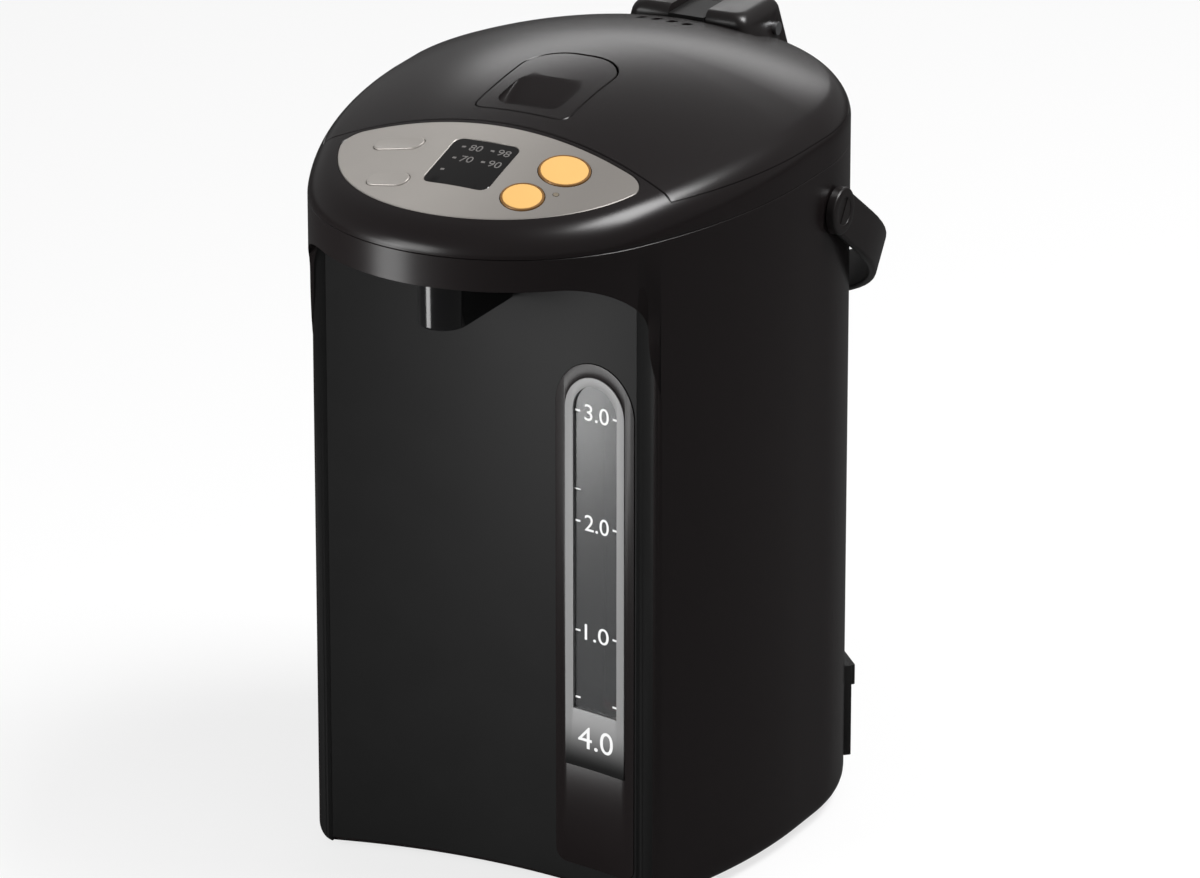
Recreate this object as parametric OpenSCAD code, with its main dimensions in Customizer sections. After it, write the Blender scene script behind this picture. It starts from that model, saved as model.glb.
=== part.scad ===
// Electric thermo pot of about four litres, with a pump, a hinged lid and a bail handle.
// Millimetres. The front faces -Y, the floor is Z = 0 and X = 0 is the middle plane.

/* [Body] */
// Width of the body across its sides
body_w = 209; // [190:1:251]
// Height of the seam between the case and the head
case_top = 308.4; // [280:0.1:371]
// Radius of the rounded nose, seen from above
nose_r = 88.5; // [80:0.5:94]
// Radius of the long curve from the nose to the side
side_r = 252.5; // [230:0.5:300]
// Wall of the case and the head
case_wall = 2.5; // [2:0.1:3.5]
// Radius of the rounded bottom edge
foot_round = 8; // [5:0.5:8.5]
// Height of the band under the seam that reaches over the recess
beak_h = 14.1; // [12:0.1:20]
// Radius of the concave front face
recess_r = 269; // [220:1:320]

/* [Head and lid] */
// Height of the crown above the case seam
crown_h = 43.6; // [40:0.1:50]
// Height of the lid seam above the case seam
lid_rise = 13.9; // [12:0.1:15]
// Radius of the rounded shoulder
shoulder_r = 10; // [8:0.5:11]
// Gap round the lid
lid_gap = 0.4; // [0.3:0.05:0.6]
// Thickness of the lid release flap
flap_t = 3; // [2.5:0.1:4]

/* [Tank] */
// Wall of the steel tank
tank_wall = 1; // [0.8:0.1:1.5]
// Thickness of the insulation round the tank
jacket_t = 7.4; // [5:0.1:9]
// Air gap between the case and the insulation
air_gap = 14; // [12:0.5:18]
// Height of the tank's floor above the ground
tank_floor = 72.7; // [68:0.1:80]
// How far the neck draws in from the tank's wall
neck_in = 9.4; // [8:0.1:12]

/* [Base] */
// Radius of the turntable under the pot
turn_r = 82; // [70:0.5:82]
// Radius of the turntable's hub
hub_r = 14; // [12:0.5:18]
// Height of the rubber feet
foot_h = 1; // [1:0.1:2]

/* [Front] */
// Width of the grey gauge frame
gauge_w = 31.8; // [28:0.1:33]
// Band of the gauge frame
gauge_band = 4.1; // [3:0.1:5]
// Radius of the sight tube
sight_r = 5.5; // [4.5:0.1:6]
// Half width of the spout cover
spout_w = 11; // [10:0.5:13]
// Depth of the spout cover below the beak
spout_drop = 25; // [20:0.5:30]
// Radius of the large dispense button
dispense_r = 11.2; // [10:0.1:12]
// Radius of the small round button
drip_r = 9.4; // [8:0.1:10]

/* [Handle] */
// Width of the handle band
bail_w = 20; // [16:0.5:22]
// Thickness of the handle arms
bail_t = 4; // [3.5:0.1:5]
// Resting angle of the handle below the horizontal
bail_tilt = 35; // [34:0.5:38]
// Radius of the handle's pivot pins
bail_pin_r = 4; // [3:0.1:5]

/* [Fits] */
// Radial clearance of a shaft that turns in its bore
running = 0.05; // [0.02:0.01:0.1]
// Gap between parts that move past each other
gap = 0.4; // [0.3:0.05:0.6]
// Gap behind a piece that lies on the concave face
skin_gap = 0.15; // [0.1:0.05:0.3]

/* [Hidden] */
$fn = 64;
half_w = body_w / 2;
beak_z = case_top - beak_h;
deck_z = case_top + 0.6;
lid_z = case_top + lid_rise;
crown_z = case_top + crown_h;
base_z = foot_h + 2;

// plan of the egg-shaped body: nose arc, two long side arcs, round back
side_y = -4.4;
back_y = 16.2;
side_c = side_r - half_w;
nose_y = side_y - sqrt(pow(side_r - nose_r, 2) - pow(side_r - half_w, 2));
nose_turn = atan2(side_y - nose_y, side_r - half_w);
front_y = nose_y - nose_r;
rear_y = back_y + half_w;
nose_steps = 8;
side_steps = 6;
back_steps = 12;

// tank and what is built round it
tank_out = half_w - case_wall - air_gap - jacket_t - 0.2;
tank_r = tank_out - tank_wall;
jacket_r = tank_out + 0.2;
neck_r = tank_r - neck_in;
rim_z = case_top - 6.4;
rim_r = jacket_r + jacket_t;
mouth_r = neck_r + 5.5;
collar_t = 2.5;
seal_t = 1.3;
front_room = 24;

// concave front: the case behind it and the panel on it
panel_t = 1.6;
face_y = back_y - rim_r - front_room;
recess_y = face_y - recess_r;
corner_r = 9;
notch_round = 25;
notch_half = 57 + half_w - 104.5;
notch_z = beak_z - notch_round;
panel_half = notch_half + 18.5;

// shape of the dome
side_drop = 23.9;
front_drop = 35;
back_drop = 22.8;
crown_y = 14;

// lid outline
lid_front = face_y + 13.8;
lid_edge = 0.5;
lid_corner = 4.5;
lid_bow = 377;
lid_t = 2.5;
lid_rim = 9;
base_t = 2;
plug_r = neck_r - 1;
plug_z = rim_z + 4;

// control panel
eye_bow = 375;
eye_top = lid_front - 2.6;
eye_r = nose_r - 13.2;
eye_t = 1.4;
board_y = eye_top - 32;
board_drop = 13;
board_tilt = atan(2 * front_drop * (crown_y - board_y) / pow(crown_y - front_y, 2));
dispense_at = [39.7, eye_top - 19.3];
drip_at = [32.1, eye_top - 43];
pill_at = [[-39.9, eye_top - 19.4], [-30.5, eye_top - 46.4]];
pill_size = [[24, 9.4], [20, 9.4]];
lamp_at = [43.9, eye_top - 35.1];
display_at = [0.5, eye_top - 29.4];
display_size = [31, 33];
press = 1;
cap_t = 2.6;

// flap that releases the lid, and its bolt
flap_half = 22.5;
flap_front = lid_front + 11;
flap_back = flap_front + 62;
flap_pin = [flap_back - 10, 4];
flap_pin_r = 1.2;
flap_room = gap + 0.3;
dish_half = 15.5;
dish = [flap_front + 5, flap_front + 35];
dish_depth = 6.5;
bolt_w = 12;
bolt_t = 3;
bolt_z = lid_z + 6;

// hinge of the lid
hinge_y = rear_y - 6.7;
hinge_z = lid_z + 11.7;
hinge_half = 36;
hinge_reach = 29;
arm_half = 8.8;
hinge_pin_r = 3;

// gauge in the front panel
gauge_x = 53.2;
gauge_top = notch_z - 28;
gauge_low = 60;
window_low = 87;
window_half = gauge_w / 2 - gauge_band;
insert_half = 21.2;
insert_low = base_z + 10.2;
sight_at = [58.6, recess_y + sqrt(pow(recess_r + panel_t + case_wall, 2) - pow(58.6, 2)) + sight_r + 1];
sight_z = [gauge_low + 4, gauge_top + 20];
seal_wall = 0.8;

// pump under the tank
pump_y = back_y - tank_r + 19;
pump_r = 20;
pump_z = 40;
pipe_r = 5;
outlet_r = 4.5;
valve_h = 24;
spout_y = front_y + 25;
spout_z = beak_z - spout_drop;

// handle
bail_y = back_y + 8.8;
bail_z = case_top - 21.4;
bail_x = half_w + 0.5;
bail_reach = (rear_y + 2 + sin(bail_tilt) * bail_w / 2 - bail_y) / cos(bail_tilt) + 1;
bail_start = 30;
grip_t = 8;

bail_back = bail_y + (bail_reach + grip_t) * cos(bail_tilt) + sin(bail_tilt) * bail_w / 2;
origin_y = -(front_y + bail_back) / 2;

// turntable
turn_y = 6;
well_r = turn_r + 2;
cover_r = well_r + 4;

// mains inlet on the right rear
inlet_turn = 42;
inlet_w = 40;
inlet_z = [base_z + 7, base_z + 51];

// ---- functions for outlines and surfaces ----

// points on an arc about c, leaving out the first few
function arc(c, r, a0, a1, n, skip = 0) =
    [for (i = [skip:n]) c + r * [cos(a0 + (a1 - a0) * i / n), sin(a0 + (a1 - a0) * i / n)]];

// closes an outline whose right half runs from the front to the back
function mirrored(half) = concat(half, [for (i = [len(half) - 2:-1:1]) [-half[i][0], half[i][1]]]);

// where two circles meet, on the right
function meet(a, ra, b, rb) =
    let (v = b - a, d = norm(v), t = (d * d + ra * ra - rb * rb) / (2 * d), h = sqrt(ra * ra - t * t))
    a + t * v / d + h * [-v[1], v[0]] / d;

// the full egg, drawn in by d
function egg(d) = mirrored(concat(
    arc([0, nose_y], nose_r - d, -90, -nose_turn, nose_steps),
    arc([-side_c, side_y], side_r - d, -nose_turn, 0, side_steps, 1),
    arc([0, back_y], half_w - d, 0, 90, back_steps)));

// front of an outline that a circle cuts off the egg: the circle's arc, then the rounded corner,
// drawn in by d; c and r are the cutting circle, f the corner's radius, e the side's own inset
function cut_front(c, r, f, e, d, n, short = 0) =
    let (m = meet([-side_c, side_y], side_r - e - f, c, r + f))
    concat(arc(c, r + d, 90, atan2(m[1] - c[1], m[0] - c[0]), n),
        arc(m, f - d, atan2(c[1] - m[1], c[0] - m[0]), side_angle(m) - short, 5, 1));
function side_angle(m) = atan2(m[1] - side_y, m[0] + side_c);

// outline of the lid, drawn in by d
function lid_plan(d) =
    let (c = [0, lid_front - lid_bow],
        front = cut_front(c, lid_bow + d, max(lid_corner - d, 2), lid_edge + d, 0, 10),
        turn = side_angle(front[len(front) - 1]))
    mirrored(concat(front,
        arc([-side_c, side_y], side_r - lid_edge - d, turn, -2, side_steps, 1),
        arc([0, back_y], half_w - lid_edge - d, 4, 90, back_steps - 1)));

// area in front of the case, drawn in by d towards the tank
function front_cut(d) =
    let (c = [0, recess_y], front = cut_front(c, recess_r + panel_t, corner_r, 0, d, 6, 3),
        out = [half_w + 40, front[len(front) - 1][1] - 20])
    mirrored(concat(front, [out, [out[0], front_y - 60], [0, front_y - 60]]));

// height of the crown, without its rounded shoulder
function crown(x, y) = crown_z - side_drop * pow(x / half_w, 2)
    - (y < crown_y ? front_drop * pow((crown_y - y) / (crown_y - front_y), 2)
                   : back_drop * pow((y - crown_y) / (rear_y - crown_y), 2));

// drop of the shoulder at a distance d from the edge
function shoulder(p, d) = d >= shoulder_r ? 0
    : min(shoulder_r, crown(p[0], p[1]) - case_top - 0.6)
        * (1 - sqrt(1 - pow(1 - d / shoulder_r, 2)));

function at(points, z) = [for (p = points) [p[0], p[1], z]];
function toward(c, p, s) = c + s * (p - c);

// one ring of the dome's skin: drawn in by d and then by the thickness t
function dome_ring(d, t) = let (edge = egg(0), q = egg(d + t))
    [for (i = [0:len(q) - 1]) [q[i][0], q[i][1], crown(q[i][0], q[i][1]) - shoulder(edge[i], d) - t]];

function crown_ring(s, t) =
    [for (q = egg(shoulder_r + t)) let (p = toward([0, crown_y], q, s)) [p[0], p[1], crown(p[0], p[1]) - t]];

// outward normal of the crown, as turns about X and then Y
function lean(p) = let (
    nx = 2 * side_drop * p[0] / pow(half_w, 2),
    ny = -2 * front_drop * (crown_y - p[1]) / pow(crown_y - front_y, 2),
    n = [nx, ny, 1] / norm([nx, ny, 1]))
    [asin(-n[1]), atan2(n[0], n[2]), 0];

// ---- shared shapes ----

// closed solid through a stack of rings, with flat ends or a point at the top
module loft(rings, apex = []) {
    n = len(rings[0]);
    m = len(rings);
    sides = [for (k = [0:m - 2], i = [0:n - 1]) let (j = (i + 1) % n) each [
        [k * n + i, (k + 1) * n + i, (k + 1) * n + j], [k * n + i, (k + 1) * n + j, k * n + j]]];
    bottom = [[for (i = [0:n - 1]) i]];
    top = len(apex) == 0 ? [[for (i = [n - 1:-1:0]) (m - 1) * n + i]]
        : [for (i = [0:n - 1]) [(m - 1) * n + i, m * n, (m - 1) * n + (i + 1) % n]];
    polyhedron(concat([for (r = rings) each r], len(apex) == 0 ? [] : [apex]), concat(sides, bottom, top));
}

module prism(points, z0, z1) translate([0, 0, z0]) linear_extrude(z1 - z0) polygon(points);

module ring(r0, r1, z0, z1) translate([0, 0, z0]) difference() {
    cylinder(r = r1, h = z1 - z0);
    translate([0, 0, -1]) cylinder(r = r0, h = z1 - z0 + 2);
}

module box(low, high) translate(low) cube(high - low);

// keeps a carved skin in one triangulated piece
module skin() resize([0, 0, 0]) children();

// solid under the dome, its surface sunk by t
module dome(t, z0) loft(concat(
    [at(egg(t), z0)],
    [for (d = t > 0 ? [0, 3, 7] : [0, 0.6, 2.2, 4.6, 7.2]) dome_ring(d, t)],
    [for (s = t > 0 ? [1, 0.7, 0.35] : [1, 0.84, 0.65, 0.44, 0.2]) crown_ring(s, t)]),
    [0, crown_y, crown_z - t]);

module on_dome(p) translate([p[0], p[1], crown(p[0], p[1])]) rotate(lean(p)) children();

module on_board() translate([0, board_y, crown(0, board_y) - board_drop]) rotate([board_tilt, 0, 0]) children();

// layer of the concave front, between two depths
module face_layer(near, far, z0, z1) translate([0, recess_y, z0]) difference() {
    cylinder(r = recess_r + far, h = z1 - z0, $fn = 180);
    translate([0, 0, -1]) cylinder(r = recess_r + near, h = z1 - z0 + 2, $fn = 180);
}

// upright slab with a round top, cut through the front
module arch(half, z0, z1) translate([gauge_x, face_y + 20, 0]) rotate([90, 0, 0]) linear_extrude(60) {
    translate([0, z1 - half]) circle(half);
    translate([-half, z0]) square([2 * half, z1 - half - z0]);
}

// round pipe along a few straight runs with mitred bends
function run_dir(p, i) = let (a = i == 0 ? p[1] - p[0] : p[i] - p[i - 1], b = i == len(p) - 1 ? a : p[i + 1] - p[i])
    a / norm(a) + b / norm(b);
function pipe_ring(c, dir, r, n) = let (
    w = dir / norm(dir), u0 = abs(w[2]) < 0.8 ? [0, 0, 1] : [0, 1, 0],
    u = cross(u0, w) / norm(cross(u0, w)), v = cross(w, u))
    [for (i = [0:n - 1]) c + r * (cos(360 * i / n) * u + sin(360 * i / n) * v)];
module pipe(path, r, n = 12) loft([for (i = [0:len(path) - 1]) pipe_ring(path[i], run_dir(path, i), r, n)]);

// smooth bend from a to b, leaving along da and arriving along db
function bend(a, da, b, db, n) = [for (i = [0:n]) let (t = i / n, s = 1 - t)
    s * s * s * a + 3 * s * s * t * (a + da) + 3 * s * t * t * (b - db) + t * t * t * b];

// pill outline
module pill(size) {
    r = size[1] / 2;
    for (s = [-1, 1]) translate([s * (size[0] / 2 - r), 0]) circle(r);
    square([size[0] - 2 * r, size[1]], center = true);
}

module eye(d) intersection() {
    translate([0, nose_y]) circle(eye_r - d, $fn = 96);
    translate([0, eye_top - eye_bow]) circle(eye_bow - d, $fn = 360);
    square([2 * (71 - d), 400], center = true);
}

module rounded(size, r) {
    square([size[0] - 2 * r, size[1]], center = true);
    square([size[0], size[1] - 2 * r], center = true);
    for (x = [-1, 1], y = [-1, 1]) translate([x * (size[0] / 2 - r), y * (size[1] / 2 - r)]) circle(r);
}

// ---- case and front ----

// rounded slot that the beak leaves over the concave front
module notch(d) translate([0, face_y + 10, 0]) rotate([90, 0, 0]) linear_extrude(160) {
    for (s = [-1, 1]) translate([s * notch_half, notch_z]) circle(notch_round + d, $fn = 48);
    translate([-notch_half, notch_z]) square([2 * notch_half, notch_round + d]);
    translate([-half_w - 30, -20]) square([2 * half_w + 60, notch_z + 20]);
}

// case drawn in by d: the egg with a rounded foot, less the concave front under the beak
module case_solid(d, low, top) difference() {
    r = foot_round - d;
    loft(concat([for (a = [0:22.5:90]) at(egg(d + r * (1 - sin(a))), low + r * (1 - cos(a)))], [at(egg(d), top)]));
    intersection() {
        prism(front_cut(d), low - 5, beak_z + d);
        notch(d);
    }
}

module outer_case() color([0.10, 0.08, 0.08]) skin() difference() {
    case_solid(0, base_z, case_top);
    case_solid(case_wall, base_z + case_wall, case_top + 1);
    translate([0, turn_y, 0]) cylinder(r = cover_r + 0.3, h = 12);
    arch(window_half + 4, gauge_low + 2, gauge_top - 2);
    translate([0, spout_y, beak_z - 1]) cylinder(r = 7, h = case_wall + 2);
    for (s = [-1, 1]) translate([s * (half_w - 6), bail_y, bail_z]) rotate([0, 90, 0])
        cylinder(r = bail_pin_r + 2, h = 12, center = true);
    at_inlet() box([-8, -inlet_w / 2 + 4, inlet_z[0] + 8], [6, inlet_w / 2 - 4, inlet_z[1] - 12]);
}

module front_panel() color([0.14, 0.14, 0.14]) difference() {
    intersection() {
        face_layer(0, panel_t - skin_gap, base_z + 2, beak_z - 0.1);
        box([-panel_half, face_y - 40, 0], [panel_half, face_y + 5, case_top]);
        panel_arch();
    }
    arch(insert_half + 0.15, insert_low - 0.15, gauge_top + 6.15);
}

module panel_arch() translate([0, face_y + 20, 0]) rotate([90, 0, 0]) linear_extrude(60) {
    r = notch_round - (notch_half + notch_round - panel_half);
    for (s = [-1, 1]) translate([s * notch_half, notch_z]) circle(r);
    translate([-notch_half, notch_z]) square([2 * notch_half, notch_round]);
    translate([-panel_half, 0]) square([2 * panel_half, notch_z]);
}

module gauge_cover() color([0.10, 0.08, 0.08]) difference() {
    intersection() {
        face_layer(-0.5, panel_t - skin_gap, insert_low - 5, case_top);
        arch(insert_half, insert_low, gauge_top + 6);
    }
    arch(gauge_w / 2 + 0.1, gauge_low - 0.1, gauge_top + 0.1);
}

module gauge_frame() color([0.55, 0.56, 0.57]) difference() {
    intersection() {
        face_layer(-1, panel_t - skin_gap, gauge_low - 5, case_top);
        arch(gauge_w / 2, gauge_low, gauge_top);
    }
    arch(window_half, window_low, gauge_top - gauge_band);
}

module gauge_window() color([0.3, 0.32, 0.34, 0.5]) intersection() {
    face_layer(-0.4, panel_t - 0.4, window_low - 5, case_top);
    arch(window_half - 0.1, window_low + 0.1, gauge_top - gauge_band - 0.1);
}

module sight_tube() color([0.8, 0.85, 0.88, 0.5]) translate([sight_at[0], sight_at[1], 0])
    ring(sight_r - 1.2, sight_r, sight_z[0], sight_z[1]);

module tube_seals() color([0.75, 0.74, 0.72]) for (z = [sight_z[0] - 4, sight_z[1] - 12])
    translate([sight_at[0], sight_at[1], 0]) ring(sight_r + 0.02, sight_r + seal_wall, z, z + 12);

module level_marker() color([0.5, 0.12, 0.16]) translate([sight_at[0], sight_at[1], 0])
    ring(sight_r, sight_r + 0.5, window_low + 1, window_low + 5);

module bottom_cover() color([0.12, 0.12, 0.12]) translate([0, turn_y, 0]) difference() {
    rotate_extrude($fn = 96) {
        top = base_z + 8.5;
        lip = base_z + case_wall;
        polygon([[0, base_z + 1], [hub_r, base_z + 1], [hub_r, top - 2.5], [turn_r - 16, top - 2.5],
            [turn_r - 16, top - 3.2], [turn_r - 12, top - 3.2], [turn_r - 12, top - 2.5],
            [well_r, top - 2.5], [well_r, base_z + 0.2], [cover_r, base_z + 0.2], [cover_r, lip + 0.1],
            [cover_r + 4, lip + 0.1], [cover_r + 4, lip + 2.5], [well_r + 2.5, lip + 2.5],
            [well_r + 2.5, top], [0, top]]);
    }
    for (a = [45:90:315]) rotate(a) translate([turn_r - 22, 0, base_z + 5]) cylinder(r = 1.75, h = 8);
    translate([0, 0, base_z]) cylinder(r = 2.5, h = 7);
}

module base_screws() color([0.6, 0.6, 0.62]) for (a = [45:90:315])
    translate([0, turn_y, 0]) rotate(a) translate([turn_r - 22, 0, base_z + 6.05]) {
        difference() {
            translate([0, 0, -1.9]) cylinder(r = 3.4, h = 1.85);
            for (t = [0, 90]) rotate(t) box([-2, -0.4, -3], [2, 0.4, -1.2]);
        }
        translate([0, 0, -0.1]) cylinder(r = 1.7, h = 5.5);
    }

// ---- head ----

// the opening that the lid lies in, or the lid's own outline
module lid_well(d, z0, z1) prism(lid_plan(d), z0, z1);

module head_cover() color([0.10, 0.08, 0.08]) skin() difference() {
    union() {
        difference() {
            dome(0, case_top);
            difference() {
                dome(case_wall, case_top - 1);
                lid_seat();
            }
            lid_well(-lid_gap, lid_z, crown_z + 5);
        }
        difference() {
            intersection() {
                dome(0.8, deck_z + 2.6);
                lid_well(-lid_gap - 2.2, deck_z + 2.6, crown_z);
                box([-half_w, lid_front - 20, deck_z], [half_w, lid_front + 14, crown_z]);
            }
            lid_well(-lid_gap, deck_z, crown_z + 5);
        }
    }
    eye_pocket(0.15, eye_t);
    on_dome(dispense_at) cylinder(r = dispense_r + 1, h = 20, center = true, $fn = 24);
    on_dome(drip_at) cylinder(r = drip_r + 1, h = 20, center = true, $fn = 24);
    for (i = [0, 1]) on_dome(pill_at[i]) linear_extrude(20, center = true) pill(pill_size[i] + [2, 2], $fn = 16);
    box([-bolt_w / 2 - 1, lid_front - 6, bolt_z - 0.6], [bolt_w / 2 + 1, lid_front + 1, bolt_z + bolt_t + 0.6]);
}

// inward rim that the edge of the lid lies on
module lid_seat() difference() {
    prism(egg(1), lid_z - 2.5, lid_z + 2);
    prism(egg(shoulder_r - 1), lid_z - 3, lid_z + 3);
    box([-half_w, front_y, lid_z - 4], [half_w, lid_front - 12, lid_z + 4]);
    box([-hinge_half - gap, 0, lid_z - 4], [hinge_half + gap, rear_y, lid_z + 4]);
}

module eye_pocket(d, t) difference() {
    translate([0, 0, case_top]) linear_extrude(crown_h + 5) offset(d) eye(0);
    translate([0, 0, -t]) dome(0, case_top - 5);
}

module head_deck() color([0.16, 0.16, 0.17]) {
    difference() {
        union() {
            prism(egg(case_wall + 2.2), deck_z, deck_z + 2.5);
            translate([0, back_y, rim_z + seal_t]) cylinder(r = mouth_r + collar_t, h = deck_z - rim_z);
        }
        translate([0, back_y, rim_z]) cylinder(r = mouth_r, h = 30);
    }
    for (x = [-40, 40], y = [board_y + 18, board_y - 18])
        translate([x, y, deck_z + 2.5]) cylinder(r = 2.5, h = board_under(y - 2.5) - deck_z - 2.55);
}

// underside of the control board at a given depth
function board_under(y) = crown(0, board_y) - board_drop - 1.6 / cos(board_tilt) + (y - board_y) * tan(board_tilt);

module control_panel() color([0.62, 0.60, 0.58]) skin() difference() {
    intersection() {
        translate([0, 0, case_top + 2]) linear_extrude(crown_h) eye(0);
        dome(0, case_top);
    }
    translate([0, 0, -eye_t + 0.05]) dome(0, case_top - 5);
    on_dome(dispense_at) cylinder(r = dispense_r + 0.3, h = 20, center = true, $fn = 40);
    on_dome(drip_at) cylinder(r = drip_r + 0.3, h = 20, center = true, $fn = 40);
    on_dome(lamp_at) cylinder(r = 1.4, h = 20, center = true, $fn = 16);
    for (i = [0, 1]) on_dome(pill_at[i]) linear_extrude(20, center = true) pill(pill_size[i] + [0.6, 0.6]);
    display_hole(0.15);
}

module display_hole(d) translate([display_at[0], display_at[1], case_top + 3]) linear_extrude(crown_h)
    rounded(display_size + [2 * d, 2 * d], 4);

module display_window() color([0.03, 0.03, 0.03]) skin() difference() {
    intersection() {
        display_hole(0);
        translate([0, 0, -0.15]) dome(0, case_top);
    }
    translate([0, 0, -eye_t + 0.05]) dome(0, case_top - 5);
}

module indicator_lens() color([0.8, 0.75, 0.6]) on_dome(lamp_at) translate([0, 0, -eye_t + 0.2])
    cylinder(r = 1.2, h = eye_t - 0.1);

module control_board() color([0.10, 0.35, 0.18]) on_board() difference() {
    translate([0, 0, -1.6]) linear_extrude(1.6) rounded([100, 46], 3);
    for (x = [-46, 46]) translate([x, 18, -3]) cylinder(r = 1.6, h = 6);
}

// where a button's stem lands on the board: the height of the dome above it
function board_depth(p) = crown(p[0], p[1]) - crown(0, board_y) + board_drop - (p[1] - board_y) * tan(board_tilt);
button_at = [dispense_at, drip_at, pill_at[0], pill_at[1]];

module button_switches() color([0.15, 0.15, 0.16]) for (p = button_at) {
    translate([p[0], p[1], crown(p[0], p[1]) - board_depth(p)]) rotate([board_tilt, 0, 0]) {
        box([-3, -3, 0], [3, 3, 3]);
        translate([0, 0, 2.9]) cylinder(r = 1.7, h = 0.9);
    }
}

// round or pill cap with a stem that ends above its switch
module button(p, cap_r, size) on_dome(p) {
    stem = board_depth(p) - cap_t - 3.8 - press - 1.6;
    if (cap_r > 0) {
        translate([0, 0, 0.4 - cap_t]) rotate_extrude($fn = 96) polygon([[0, 0], [cap_r, 0],
            [cap_r, cap_t - 0.5], [cap_r - 0.15, cap_t - 0.15], [cap_r - 0.5, cap_t], [0, cap_t]]);
    } else {
        translate([0, 0, 0.2 - cap_t]) linear_extrude(cap_t) pill(size);
    }
    translate([0, 0, -cap_t - stem]) cylinder(r = 2, h = stem + 0.6);
}

module dispense_button() color([0.93, 0.76, 0.45]) button(dispense_at, dispense_r, []);
module drip_button() color([0.93, 0.76, 0.45]) button(drip_at, drip_r, []);
module repeat_button() color([0.6, 0.58, 0.56]) button(pill_at[0], 0, pill_size[0]);
module select_button() color([0.6, 0.58, 0.56]) button(pill_at[1], 0, pill_size[1]);

// ---- tank and water path ----

module tank() color([0.75, 0.75, 0.76]) translate([0, back_y, 0]) difference() {
    rotate_extrude($fn = 120) {
        low = 12;
        polygon(concat([[0, tank_floor - tank_wall]],
            arc([tank_out - low, tank_floor - tank_wall + low], low, -90, 0, 6),
            [[tank_out, rim_z - neck_in - 8], [neck_r + tank_wall + 1, rim_z - 3], [neck_r + tank_wall + 1, rim_z - tank_wall],
             [rim_r, rim_z - tank_wall], [rim_r, rim_z], [neck_r, rim_z], [neck_r, rim_z - 3.5],
             [tank_r, rim_z - neck_in - 8.5]],
            arc([tank_r - low + 1, tank_floor + low - 1], low - 1, 0, -90, 6),
            [[0, tank_floor]]));
    }
    translate([0, pump_y - back_y, tank_floor - 5]) cylinder(r = pipe_r, h = 10);
}

module tank_seal() color([0.75, 0.73, 0.7]) translate([0, back_y, 0])
    ring(mouth_r, mouth_r + collar_t + 2, rim_z, rim_z + seal_t);

module insulation_jacket() color([0.8, 0.8, 0.78]) translate([0, back_y, 0])
    ring(jacket_r, rim_r, tank_floor + 12, rim_z - neck_in - 8.5);

module heater_plate() color([0.6, 0.6, 0.6]) translate([0, back_y, 0]) {
    top = tank_floor - tank_wall;
    difference() {
        translate([0, 0, top - 3]) cylinder(r = tank_r - 36, h = 3);
        translate([0, 0, top - 4]) cylinder(r = 9, h = 5);
    }
    translate([0, 0, top - 3.1]) rotate_extrude() translate([tank_r - 46, 0]) circle(3, $fn = 32);
}

module temperature_sensor() color([0.5, 0.5, 0.52]) translate([0, back_y, tank_floor - tank_wall - 12]) {
    cylinder(r = 6, h = 12);
    translate([0, 0, -3]) cylinder(r = 8, h = 3.01);
}

module thermal_fuse() color([0.85, 0.8, 0.7]) translate([tank_r - 58, back_y, tank_floor - tank_wall - 6])
    rotate([90, 0, 0]) cylinder(r = 3, h = 12, center = true);

module tank_strainer() color([0.7, 0.7, 0.71]) translate([0, pump_y, tank_floor]) difference() {
    cylinder(r = pipe_r + 3, h = 5);
    translate([0, 0, -1]) cylinder(r = pipe_r + 2, h = 5);
    for (a = [0:45:315]) rotate(a) translate([pipe_r / 2 + 1, 0, 0]) cylinder(r = 1, h = 9);
}

module inlet_hose() color([0.72, 0.72, 0.7]) translate([0, pump_y, 0])
    ring(pipe_r, pipe_r + 2, pump_z + 16, tank_floor - tank_wall);

module pump_housing() color([0.9, 0.9, 0.88]) translate([0, pump_y, pump_z]) {
    difference() {
        union() {
            cylinder(r = pump_r, h = 12);
            cylinder(r = pipe_r + 2, h = 16);
            translate([pump_r - 6, 0, 6]) rotate([0, 90, 0]) cylinder(r = pipe_r, h = 16);
        }
        translate([0, 0, 2]) cylinder(r = pump_r - 2.5, h = 8);
        translate([0, 0, 5]) cylinder(r = pipe_r, h = 20);
        translate([pump_r - 8, 0, 6]) rotate([0, 90, 0]) cylinder(r = pipe_r - 2, h = 30);
    }
}

module pump_impeller() color([0.9, 0.88, 0.8]) translate([0, pump_y, pump_z + 2.4]) {
    cylinder(r = pump_r - 4, h = 2);
    cylinder(r = 4, h = 5);
    for (a = [0:60:300]) rotate(a) box([3, -0.8, 1.5], [pump_r - 5, 0.8, 5.5]);
}

module pump_motor() color([0.35, 0.36, 0.38]) translate([0, pump_y, 0]) {
    translate([0, 0, pump_z - 24]) cylinder(r = pump_r - 3, h = 24);
    translate([0, 0, base_z + 8.6]) cylinder(r = 6, h = pump_z - 24 - base_z - 8.6);
}

module riser_hose() color([0.72, 0.72, 0.7]) {
    low = [pump_r + 10.1, pump_y, pump_z + 6];
    top = [sight_at[0], sight_at[1], sight_z[0] - 0.1];
    pipe(concat([low], bend(low + [2, 0, 0], [24, 0, 0], top - [0, 0, 2], [0, 0, 20], 10), [top]), pipe_r);
}

module valve_housing() color([0.85, 0.85, 0.83]) translate([sight_at[0], sight_at[1], sight_z[1] + 0.1]) difference() {
    union() {
        cylinder(r = sight_r + 0.7, h = valve_h - 4);
        cylinder(r = outlet_r, h = valve_h);
    }
    translate([0, 0, -1]) cylinder(r = outlet_r - 1.5, h = valve_h + 2);
    translate([0, 0, 3]) cylinder(r = sight_r - 0.8, h = valve_h - 10);
}

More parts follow.
